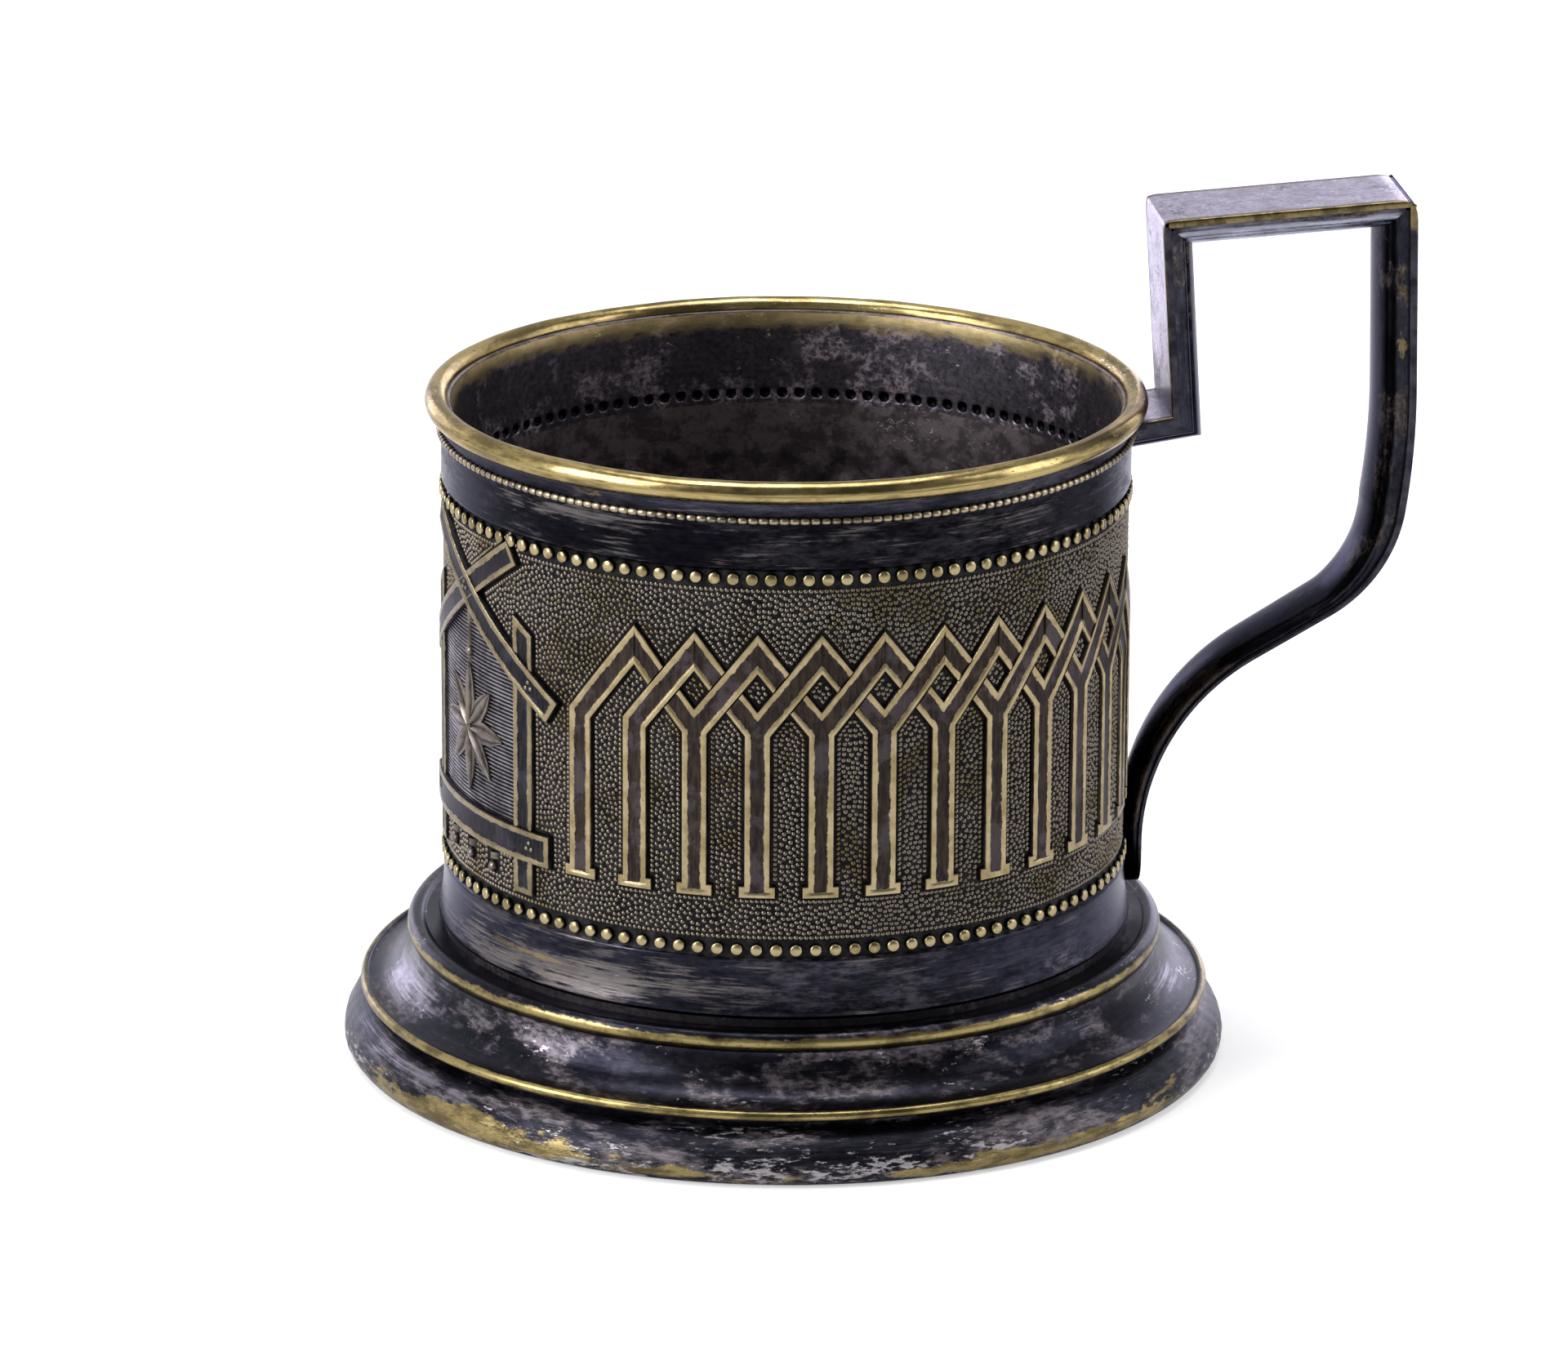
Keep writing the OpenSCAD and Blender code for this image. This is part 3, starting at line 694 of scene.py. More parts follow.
def relief_lines(size):
    """Centre lines of the arcade's ribbons and the cartouche's bars, on the developed wall."""
    lines = []
    for run in arcades(size):
        for i in range(run.bays + 1):
            s = run.start + i * run.pitch
            lines.append(((s, run.foot), (s, run.spring)))
            if i < run.bays - 1:
                lines.append(((s, run.spring), (s + run.pitch, run.top)))
            if i > 1:
                lines.append(((s, run.spring), (s - run.pitch, run.top)))
    return lines + Cartouche(size).bars()


def distance_to_lines(points, lines, reach=3):
    """Least distance from each point of the developed wall to a line within reach of it."""
    best = np.full(len(points), FAR)
    for a, b in np.array(lines):
        low, high = min(a[0], b[0]) - reach, max(a[0], b[0]) + reach
        close = np.where((points[:, 0] > low) & (points[:, 0] < high))[0]
        p = points[close] - a
        t = np.clip(p @ (b - a) / ((b - a) @ (b - a)), 0, 1)
        away = np.linalg.norm(p - t[:, None] * (b - a), axis=1)
        best[close] = np.minimum(best[close], away)
    return best


def pearl_rows(size):
    """Each row of pearls: name, height, count, and the angle left free beside the handle."""
    reach = FRIEZE_STEP + 0.1 + size.pearl_size / 2
    return (("upper", size.frieze_top - reach, 118, 0.0),
            ("lower", size.frieze_foot + reach, 112, 7.8))


class HOLDER_OT_sleeve(bpy.types.Operator):
    """Makes the stamped sleeve, with the hollows behind its pearls and ribbons"""
    bl_idname = "holder.sleeve"
    bl_label = "Sleeve"

    def execute(self, context):
        size = read_sizes(context)
        outer, inner = self.outer_rows(size), self.inner_rows(size)
        points, faces, turned = lathe(outer + inner, SLEEVE_COLUMNS)
        radius, turn, z = cylindric(points)
        turn = turn % (2 * math.pi)
        inside = radius < size.bore_radius + 0.01
        sink, pit = np.zeros((2, len(points)))
        sink[inside], pit[inside] = self.hollows(size, turn[inside], z[inside])
        wave = 0.03 * np.sin(turn * 7 + z * 0.21) * np.sin(turn * 3 - z * 0.13)
        wave = np.where(radius > size.ground - 0.05, wave, 0)
        points = pushed(points, np.where(inside, np.maximum(sink, pit), wave))
        wear, tint, level = self.finish(size, points, radius, inside)
        made = piece("sleeve_shell", points, [face[::-1] for face in faces],
                     {"lathe": turned, "wear": np.clip(wear, 0, 1), "sunk": pit, "tint": tint,
                      "level": ~inside * level}, materials=SLEEVE_FINISHES)
        bore_start = len(outer) * SLEEVE_COLUMNS
        kinds = []
        for face in faces:
            if min(face) >= bore_start - SLEEVE_COLUMNS and max(face) >= bore_start:
                kinds.append(BORE)
            else:
                height = points[face, 2].mean()
                sunk = size.frieze_foot + 0.1 < height < size.frieze_top - 0.1
                kinds.append(GROUND if sunk else BAND)
        made.data.polygons.foreach_set("material_index", kinds)
        settle(made, "blackened_sleeve", "sleeve")
        return {"FINISHED"}

    def outer_rows(self, size):
        """The outer face from the hem up: flared band, sunk frieze, band and neck."""
        low, high, ground, band = size.frieze_foot, size.frieze_top, size.ground, size.band
        hem, hem_z = band + 0.65, FOOT_OF_SLEEVE + 0.3
        wire_top, neck_z = size.wire_height + 0.9, 69.8
        line = [(hem - 0.3, FOOT_OF_SLEEVE), (hem, hem_z)]
        line += sagged((hem, hem_z), (band, low - 0.3), 0.9, np.linspace(0.1, 0.9, 9))
        line += [(band, low - 0.3), (band, low - 0.05), (ground, low + FRIEZE_STEP)]
        line += [(ground, z) for z in np.linspace(low + 1.0, high - 1.0, 12)]
        line += [(ground, high - FRIEZE_STEP), (band, high + 0.05), (band, high + 0.4)]
        line += [(band, z) for z in np.linspace(high + 1.2, wire_top, 6)]
        line += sagged((band, wire_top), (size.neck, neck_z), 0.2, (0.25, 0.5, 0.75, 1.0))
        return rounded(line + [(size.neck, size.rim_height)], 0.16, steps=2)

    def inner_rows(self, size):
        """The bore from the rim down, with finer rows behind the pearls."""
        bore, rim = size.bore_radius, size.rim_height
        upper, lower = (z for name, z, count, gap in pearl_rows(size))
        rows = [(bore + 0.35, rim), (bore + 0.08, rim - 0.08), (bore, rim - 0.4)]
        for start, end, step, finer in ((rim - 1.5, size.frieze_top - 0.6, 1.5, 1),
                                        (upper + 0.75, upper - 0.76, 0.15, 3),
                                        (upper - 1.2, lower + 1.1, 0.55, 1),
                                        (lower + 0.75, lower - 0.76, 0.15, 3)):
            rows += [(bore, z, finer) for z in np.arange(start, end, -step)]
        return rows + [(bore, z) for z in (20.4, 18.5, 16.5, 15.0, FOOT_OF_SLEEVE)]

    def hollows(self, size, turn, z):
        """Depths of the bore's hollows behind the ribbons, and of its pits behind the pearls."""
        wall = np.stack([turn * size.ground, z], 1)
        behind = 0.20 * ramp(distance_to_lines(wall, relief_lines(size)), 1.15, 0.60)
        pit = np.zeros(len(z))
        for name, height, count, gap in pearl_rows(size):
            step = 2 * math.pi / count
            off = ((turn / step) % 1 - 0.5) * step * size.ground
            ball = 1 - (off ** 2 + (z - height) ** 2) / 0.62 ** 2
            beside = np.abs((turn + math.pi) % (2 * math.pi) - math.pi) >= math.radians(gap)
            pit = np.maximum(pit, beside * 0.38 * np.clip(ball, 0, 1) ** 0.7)
        return behind, pit

    def finish(self, size, points, radius, inside):
        """Where the sleeve is worn; its tint, a gold band inside under the rim and a painted sheen
        outside; and its level, painted light and shade in stops.
        """
        z, high = points[:, 2], size.frieze_top
        wear = 0.30 * bump_at(z, 68.9, 0.8)
        wear += 0.95 * bump_at(z, 70.6, 0.9) * (radius < size.neck - 0.1)
        wear += 0.62 * bump_at(z, 17.7, 0.6) * side_bump(points, 216, 20) * ~inside
        ridge = pearl_rows(size)[0][1] - 1.3
        bore_wear = 0.56 * ramp(z, ridge + 0.4, ridge - 0.4) + 0.35 * bump_at(z, ridge, 0.5)
        tint = ramp(z, 68.7, 70.1) * inside * (1 - 0.45 * side_bump(points, 0, 45))
        # Painted sheen outside: the front left of the lower band, and of the upper band under the
        # wire, made pale.
        pale = 0.88 * bump_at(z, 16.9, 2.8) + 0.50 * bump_at(z, 66.5, 0.7)
        tint += ~inside * side_bump(points, 222, 32) * pale
        # Level in stops: the upper band darker all round, with painted shade on its right; a painted
        # sheen under the rim at the front; painted light on the lower band's left and right.
        upper_band = (z > high) & (z < size.wire_height)
        level = upper_band * (-1.35 - 0.9 * side_bump(points, 330, 30))
        level += 1.5 * bump_at(z, 69.4, 0.7) * side_bump(points, 258, 42)
        lower = 0.8 * side_bump(points, 215, 30) + 1.1 * side_bump(points, 322, 32)
        level += bump_at(z, 17.5, 3.5) * lower
        return np.where(inside, bore_wear, wear), tint, level


# Small domes

def tube(first, rings, sides, ends=True):
    """Faces of a tube whose rings of points follow one another, its two ends closed or left."""
    faces = []
    for ring in range(first, first + (rings - 1) * sides, sides):
        for k in range(sides):
            a, b = ring + k, ring + (k + 1) % sides
            faces.append((a, b, b + sides, a + sides))
    if ends:
        last = first + (rings - 1) * sides
        faces.append(tuple(range(first, first + sides))[::-1])
        faces.append(tuple(range(last, last + sides)))
    return faces


def dome(name, sides, rings, radius, height, flat=1.0):
    """A small dome standing on +Z, with a crown attribute that runs from its root to its top."""
    points, crown = [], []
    for i in range(rings):
        t = i / rings * math.pi / 2
        reach = radius * math.cos(t) ** flat
        for k in range(sides):
            a = 2 * math.pi * k / sides
            points.append((reach * math.cos(a), reach * math.sin(a), height * math.sin(t)))
            crown.append(math.sin(t))
    last = (rings - 1) * sides
    faces = tube(0, rings, sides, ends=False)
    faces += [(last + k, last + (k + 1) % sides, last + sides) for k in range(sides)]
    faces.append(tuple(range(sides))[::-1])
    made = piece(name, points + [(0, 0, height)], faces, {"crown": crown + [1.0]}, smooth_angle=80)
    made.hide_render = True
    return made


def stud_nodes():
    """Geometry nodes: sets a small mesh on every point, facing away from the axis."""
    tree = bpy.data.node_groups.new("Studs on the wall", "GeometryNodeTree")
    for label, kind, default in (("Points", "Geometry", None), ("Stud", "Object", None),
                                 ("Least size", "Float", 1.0), ("Most size", "Float", 1.0),
                                 ("Seed", "Int", 7), ("Finish", "Material", None)):
        socket = tree.interface.new_socket(label, in_out="INPUT", socket_type=f"NodeSocket{kind}")
        if default is not None:
            socket.default_value = default
    tree.interface.new_socket("Mesh", in_out="OUTPUT", socket_type="NodeSocketGeometry")
    build = Tree(tree)
    given = tree.nodes.new("NodeGroupInput").outputs
    put = tree.nodes.new("NodeGroupOutput").inputs
    stud = build.add("GeometryNodeObjectInfo", ("Object", given["Stud"]), out=None)
    flat = build.stretch(build.add("GeometryNodeInputPosition"), (1.0, 1.0, 0.0))
    facing = build.add("FunctionNodeAlignRotationToVector", ("Vector", flat), axis="Z")
    level = build.add("FunctionNodeAlignRotationToVector", ("Rotation", facing),
                      ("Vector", (0.0, 0.0, 1.0)), axis="Y", pivot_axis="Z")
    size = build.add("FunctionNodeRandomValue", (2, given["Least size"]), (3, given["Most size"]),
                     ("Seed", given["Seed"]), out=1, data_type="FLOAT")
    fit = build.add("GeometryNodeInputNamedAttribute", ("Name", "fit"), data_type="FLOAT")
    spread = build.add("GeometryNodeInstanceOnPoints", ("Points", given["Points"]),
                       ("Rotation", level), ("Instance", stud.outputs["Geometry"]),
                       ("Scale", build.maths("MULTIPLY", size, fit)))
    solid = build.add("GeometryNodeRealizeInstances", ("Geometry", spread))
    finish = build.add("GeometryNodeSetMaterial", ("Geometry", solid),
                       ("Material", given["Finish"]))
    tree.links.new(finish, put["Mesh"])
    return tree


def scatter(name, points, stud, finish, sizes=(1.0, 1.0), seed=7, fit=None):
    """Sets the stud on points given in millimetres, as one plain mesh on the sleeve."""
    made = piece(name, points, [], {"fit": np.ones(len(points)) if fit is None else fit})
    tree = bpy.data.node_groups.get("Studs on the wall") or stud_nodes()
    modifier = made.modifiers.new("studs", "NODES")
    modifier.node_group = tree
    inputs = {item.name: item.identifier for item in tree.interface.items_tree
              if item.in_out == "INPUT"}
    for label, value in (("Stud", stud), ("Least size", sizes[0]), ("Most size", sizes[1]),
                         ("Seed", seed), ("Finish", bpy.data.materials[finish])):
        modifier[inputs[label]] = value
    plain_mesh(made, name)
    settle(made, "blackened_sleeve")


def on_wall(s, z, radius, ground):
    """Points of the developed wall in space, s being millimetres along the ground's circle."""
    turn = np.asarray(s) / ground
    return np.stack([radius * np.cos(turn), radius * np.sin(turn), np.asarray(z) + 0 * turn], 1)


def wrapped(rows, ground):
    """Points in space, and the values, of rows of (s, z, height over the ground, value)."""
    s, z, height, value = np.array(rows, float).T
    return on_wall(s, z, ground + height, ground), value


class HOLDER_OT_pearls(bpy.types.Operator):
    """Makes the two rows of pearls along the frieze"""
    bl_idname = "holder.pearls"
    bl_label = "Pearls"

    def execute(self, context):
        size = read_sizes(context)
        stud = dome("pearl", 14, 6, size.pearl_size / 2, 0.60, 0.24)
        for name, z, count, gap in pearl_rows(size):
            turn = (np.arange(count) + 0.5) * 360 / count
            turn = turn[np.abs((turn + 180) % 360 - 180) > gap]
            points = on_wall(np.radians(turn) * size.ground, z, size.ground - 0.03, size.ground)
            scatter(f"{name}_pearls", points, stud, "pearl_brass", (0.96, 1.04), 3)
        bpy.data.objects.remove(stud)
        return {"FINISHED"}


# Relief

class Region:
    """A flat outline on the developed wall. Its free sides carry a border; cut sides meet a
    neighbour."""

    def __init__(self, points, cut=(), rise=0.0):
        area = sum(a[0] * b[1] - b[0] * a[1] for a, b in zip(points, points[1:] + points[:1]))
        count = len(points)
        free = [i not in cut for i in range(count)]
        if area < 0:
            points = points[::-1]
            free = [free[(count - 2 - i) % count] for i in range(count)]
        self.points = np.array(points, float)
        self.free = free
        self.rise = rise

    def inset(self, depth):
        """The outline with its free sides moved inwards by a depth."""
        count = len(self.points)
        made = []
        for i in range(count):
            here, back, on = self.points[i], self.points[i - 1], self.points[(i + 1) % count]
            a, b = here - back, on - here
            sides = np.array([np.array([-a[1], a[0]]) / np.linalg.norm(a),
                              np.array([-b[1], b[0]]) / np.linalg.norm(b)])
            moved = np.array([depth * self.free[i - 1], depth * self.free[i]])
            if abs(np.linalg.det(sides)) < 1e-4:
                made.append(here + sides[1] * moved[1])
            else:
                made.append(here + np.linalg.solve(sides, moved))
        return np.array(made)

    def distance(self, points):
        """How far outside the outline points lie; less than 0 inside."""
        best = np.full(len(points), FAR)
        inside = np.zeros(len(points), bool)
        for a, b in zip(self.points, np.roll(self.points, -1, 0)):
            p, d = points - a, b - a
            t = np.clip(p @ d / (d @ d), 0, 1)
            best = np.minimum(best, np.linalg.norm(p - t[:, None] * d, axis=1))
            crosses = (a[1] > points[:, 1]) != (b[1] > points[:, 1])
            with np.errstate(divide="ignore", invalid="ignore"):
                at = a[0] + (points[:, 1] - a[1]) * d[0] / d[1]
            inside ^= crosses & (points[:, 0] < at)
        return np.where(inside, -best, best)


class ArcadeRun:
    """One stretch of the arcade of crossing pointed arches, from the cartouche to the handle."""
    slope = math.tan(math.radians(52.0))
    foot, rise = 27.55, 28.5

    def __init__(self, size, start, end, bays):
        self.start, self.bays = math.radians(start) * size.ground, bays
        self.pitch = math.radians(end - start) * size.ground / bays
        self.width = size.ribbon_width
        self.cut = self.width / math.cos(math.atan(self.slope))
        self.top = self.foot + self.rise - self.cut / 2
        self.spring = self.top - self.slope * self.pitch

    def regions(self):
        """Each column with its limbs, and the stretch of its left limb beyond the crossing."""
        half, c, m, p, s = self.width / 2, self.cut / 2, self.slope, self.pitch, self.spring
        plinth, plinth_top = half * 1.4, self.foot + self.width * 0.5
        made = []
        for i in range(self.bays + 1):
            left, right = i > 1, i < self.bays - 1
            points, cut = [(-plinth, self.foot), (plinth, self.foot), (plinth, plinth_top),
                           (half, plinth_top)], []
            if right:
                points += [(half, s - c + m * half), (p, s - c + m * p), (p, s + c + m * p)]
                cut.append(len(points) - 2)
            if right and left:
                points.append((0, s + c))
            elif right:
                points.append((-half, s + c - m * half))
            elif left:
                points.append((half, s + c - m * half))
            if left:
                crossed = i < self.bays
                meet = c / m - p / 2 if crossed else -p
                below = -p / 2 if crossed else -p
                points += [(meet, s + c - m * meet), (below, s - c - m * below),
                           (-half, s - c + m * half)]
                cut.append(len(points) - 3)
            elif not right:
                points += [(half, s), (-half, s)]
            points += [(-half, plinth_top), (-plinth, plinth_top)]
            at = self.start + i * p
            made.append(Region([(at + x, z) for x, z in points], cut))
            if left and i < self.bays:
                far = -c / m - p / 2
                beyond = [(far, s - c - m * far), (-p / 2, s + c + m * p / 2),
                          (-p, s + c + m * p), (-p, s - c + m * p)]
                made.append(Region([(at + x, z) for x, z in beyond], (0, 2)))
        return made


def arcades(size):
    """The two stretches of the arcade, left free at the cartouche and beside the handle."""
    beside_cartouche, beside_handle = 29.9, 8.5
    return (ArcadeRun(size, CARTOUCHE_AT + beside_cartouche, 360 - beside_handle, 12),
            ArcadeRun(size, beside_handle, CARTOUCHE_AT - beside_cartouche, 15))


class Cartouche:
    """Crossed boards over two posts and a rail, with a flower hung between them."""
    cross_z, board_w, board_tilt, rail_h, rail_half = 54.55, 3.0, math.radians(33), 3.6, 14.8
    post_out, post_foot, rail_z, flower_z, drop_pitch = 10.7, 23.85, 27.55, 39.35, 5.0

    def __init__(self, size):
        self.ground = size.ground
        self.centre = math.radians(CARTOUCHE_AT) * self.ground
        self.drops = (-self.drop_pitch, 0.0, self.drop_pitch)

    def bars(self):
        """Centre lines of the boards, the posts and the rail."""
        here = np.array([self.centre, self.cross_z])
        made = []
        for side in (-1, 1):
            down = np.array([side * math.cos(self.board_tilt), -math.sin(self.board_tilt)])
            made.append((tuple(here - 11.1 * down), tuple(here + 18.3 * down)))
        for side in (-1, 1):
            x = self.centre + side * self.post_out
            made.append(((x, self.post_foot), (x, self.cross_z - 1.5)))
        z = self.rail_z + self.rail_h / 2
        made.append(((self.centre - self.rail_half, z), (self.centre + self.rail_half, z)))
        return made

    def dots(self):
        """Places of the three-dot marks on the upper board and on the rail."""
        board, rail = self.bars()[1], self.bars()[4]
        a, b = np.array(board)
        made = [tuple(a + (b - a) * share) for share in (0.37, 0.86)]
        out = self.rail_half - 2.9
        return made + [(self.centre + side * out, rail[0][1]) for side in (-1, 1)]

    def drop_regions(self):
        """The patches round the three drops, kept free of pebbles."""
        low, high, half = 24.9, 27.2, 1.1
        return [Region([(self.centre + s - half, low), (self.centre + s + half, low),
                        (self.centre + s + half, high), (self.centre + s - half, high)])
                for s in self.drops]

    def cloth(self):
        """The hatched ground between the posts, kept free of pebbles."""
        corners = ((-9.2, 31.0), (9.2, 31.0), (9.2, 48.0), (0, 54.0), (-9.2, 48.0))
        return Region([(self.centre + x, z) for x, z in corners])

    def regions(self):
        """Outlines from the lowest layer to the highest: posts, lower board, upper board, rail."""
        made = []
        lower, upper, *posts, rail = self.bars()
        for side in (-1, 1):
            x = self.centre + side * self.post_out
            inner, outer = x - side * self.board_w / 2, x + side * self.board_w / 2
            made.append(Region([(inner, self.post_foot), (outer, self.post_foot),
                                (outer, self.cross_z - 2.3), (inner, self.cross_z - 0.5)]))
        for line, width, rise in ((lower, self.board_w, 0.12), (upper, self.board_w, 0.24),
                                  (rail, self.rail_h, 0.24)):
            a, b = np.array(line)
            ahead = (b - a) / np.linalg.norm(b - a)
            out = np.array([-ahead[1], ahead[0]]) * width / 2
            made.append(Region([tuple(a - out), tuple(b - out), tuple(b + out), tuple(a + out)],
                               rise=rise))
        return made


def board_cap(start, steps):
    """Faces over a long board, each from one long edge straight across to the other."""
    long, end = steps[0], steps[1]
    made = []
    for k in range(long):
        face = [start + k, start + k + 1]
        if k == long - 1:
            face += [start + long + j for j in range(1, end)]
        face += [start + 2 * long + end - k - 1, start + 2 * long + end - k]
        if k == 0:
            face[-1:] = [start + (2 * long + end + j) for j in range(0, end)]
        made.append(face)
    return made


def flat_cap(start, rows):
    """Triangles over an outline, all turned the same way."""
    flat = [Vector((s, z, 0.0)) for s, z, *rest in rows]
    made = []
    for tri in tessellate_polygon([flat]):
        a, b, c = (flat[j] for j in tri)
        up = (b - a).cross(c - a).z > 0
        made.append([start + j for j in (tri if up else tri[::-1])])
    return made


def relief_piece(name, regions, size, finish):
    """One piece of raised outlines, wrapped round the wall, with worn borders."""
    rise, border = size.ribbon_rise, size.border_width
    # depth inside the outline, height over the ground, wear
    levels = ((0.0, -0.06, 0.0), (0.06, rise - 0.20, 0.30), (0.15, rise - 0.04, 0.92),
              (0.34, rise, 1.0), (border, rise - 0.03, 0.80), (border + 0.20, rise - 0.11, 0.46),
              (border + 0.48, rise - 0.13, 0.16))
    rows, faces = [], []
    for region in regions:
        corners = region.points
        steps = [max(1, math.ceil(abs(b[0] - a[0]) / 0.8 + abs(b[1] - a[1]) / 6.0))
                 for a, b in zip(corners, np.roll(corners, -1, 0))]
        first, count = len(rows), sum(steps)
        for depth, height, worn in levels:
            ring = region.inset(depth)
            lift = height + (region.rise if height > 0 else 0)
            for a, b, parts in zip(ring, np.roll(ring, -1, 0), steps):
                rows += [(*(a + (b - a) * k / parts), lift, worn) for k in range(parts)]
        faces += tube(first, len(levels), count, ends=False)
        board = len(corners) == 4 and steps[0] == steps[2] and steps[0] > steps[1]
        for start, flip in ((first + (len(levels) - 1) * count, False), (first, True)):
            cap = board_cap(start, steps) if board else flat_cap(start, rows[start:start + count])
            faces += [face[::-1] if flip else face for face in cap]
    points, wear = wrapped(rows, size.ground)
    settle(piece(name, points, faces, {"wear": wear}, materials=[finish]), "blackened_sleeve")


class HOLDER_OT_arcade(bpy.types.Operator):
    """Makes the arcade of crossing pointed arches, with its bright borders and sunk centres"""
    bl_idname = "holder.arcade"
    bl_label = "Arcade"

    def execute(self, context):
        size = read_sizes(context)
        for name, run in zip(("front_arcade", "back_arcade"), arcades(size)):
            relief_piece(name, run.regions(), size, "ribbon_brass")
        return {"FINISHED"}


PETAL_RINGS = (
    # share of the length, half width, height of the ridge
    (0.0, 0.12, 0.60), (0.2, 0.80, 0.74), (0.45, 1.28, 0.68), (0.75, 0.92, 0.54),
    (1.0, 0.08, 0.34),
)
PETAL_EDGE = (
    # share of the half width, height, crown
    (1.0, -0.05, 0.0), (0.94, 0.30, 0.95), (0.5, 0.34, 0.30),
)
HATCH_RIDGE = (
    # height along the wall, height over the ground, crown
    (-0.15, -0.04, 0.0), (-0.05, 0.13, 0.5), (0.05, 0.13, 0.5), (0.15, -0.04, 0.0),
)


class HOLDER_OT_cartouche(bpy.types.Operator):
    """Makes the crossed boards, posts and rail, the flower, the drops and the hatched ground"""
    bl_idname = "holder.cartouche"
    bl_label = "Cartouche"

    def execute(self, context):
        size = read_sizes(context)
        cart = Cartouche(size)
        relief_piece("cartouche_boards", cart.regions(), size, "board_brass")
        self.flower(cart)
        self.knots(cart)
        self.hatch(cart)
        return {"FINISHED"}

    def flower(self, cart):
        """Eight ridged petals, a stem and the three drops' caps."""
        rows, faces = [], []
        for i in range(8):
            ahead, aside = ahead_of(45 * i), -right_of(45 * i)
            reach = 6.6 if i % 2 else 7.0
            faces += tube(len(rows), len(PETAL_RINGS), 2 * len(PETAL_EDGE) + 1)
            for t, half, ridge in PETAL_RINGS:
                mirrored = [(-share, height, crown) for share, height, crown in PETAL_EDGE[::-1]]
                for share, height, crown in (*PETAL_EDGE, (0.0, ridge, 1.0), *mirrored):
                    s, z = ahead * reach * t + aside * half * share
                    rows.append((cart.centre + s, cart.flower_z + z, height, crown))
        stem = (0.0, cart.flower_z, cart.cross_z - 1.0, 0.24)
        for s, low, high, half in (stem, *((drop, 26.25, 26.95, 0.95) for drop in cart.drops)):
            a, b, c, d, m, n = range(len(rows), len(rows) + 6)
            rows += [(cart.centre + s + side * half, z, -0.05, 0.3)
                     for side, z in ((-1, low), (-1, high), (1, high), (1, low))]
            rows += [(cart.centre + s, z, 0.42, 1.0) for z in (low, high)]
            faces += [(a, m, n, b), (d, c, n, m), (a, d, m), (b, n, c), (a, b, c, d)]
        points, crown = wrapped(rows, cart.ground)
        made = piece("cartouche_flower", points, faces, {"crown": crown}, smooth_angle=25,
                     materials=["flower_plating"])
        outward(made)
        settle(made, "blackened_sleeve")

    def knots(self, cart):
        """The flower's heart, the stem's knot, the drops, and the three-dot marks."""
        dot_reach = 0.42
        knots = [(cart.centre, cart.flower_z + 8.2),
                 *((cart.centre + drop, 25.35) for drop in cart.drops),
                 (cart.centre, cart.flower_z)]
        dots = [(s + dot_reach * math.cos(t), z + dot_reach * math.sin(t))
                for s, z in cart.dots() for t in np.radians((90, 210, 330))]
        for name, spots, lift, stud in (
                ("cartouche_drops", knots, 0.0, dome("knot", 12, 3, 0.62, 0.62)),
                ("cartouche_dots", dots, 0.64, dome("dot", 8, 3, 0.30, 0.16))):
            s, z = np.array(spots).T
            points = on_wall(s, z, cart.ground + lift, cart.ground)
            scatter(name, points, stud, "flower_plating")
            bpy.data.objects.remove(stud)

    def hatch(self, cart):
        """Fine level ridges between the posts, under the boards."""
        slope = math.tan(cart.board_tilt)
        roof = cart.cross_z - cart.board_w / 2 / math.cos(cart.board_tilt)
        inner = cart.post_out - cart.board_w / 2 + 0.1
        rows, faces = [], []
        for z in np.arange(cart.rail_z + cart.rail_h - 0.1, roof, 0.42):
            reach = (roof + 0.4 - z) / slope
            if reach < 0.4:
                continue
            reach = min(reach if z > cart.cross_z - slope * inner else inner, inner)
            steps = max(2, int(2 * reach / 0.8))
            faces += [face[::-1] for face in tube(len(rows), steps + 1, len(HATCH_RIDGE))]
            for k in range(steps + 1):
                s = cart.centre - reach + 2 * reach * k / steps
                rows += [(s, z + up, height, crown) for up, height, crown in HATCH_RIDGE]
        points, crown = wrapped(rows, cart.ground)
        made = piece("cartouche_hatch", points, faces, {"crown": crown}, smooth_angle=60,
                     materials=["hatch_plating"])
        settle(made, "blackened_sleeve")


# Pebbles

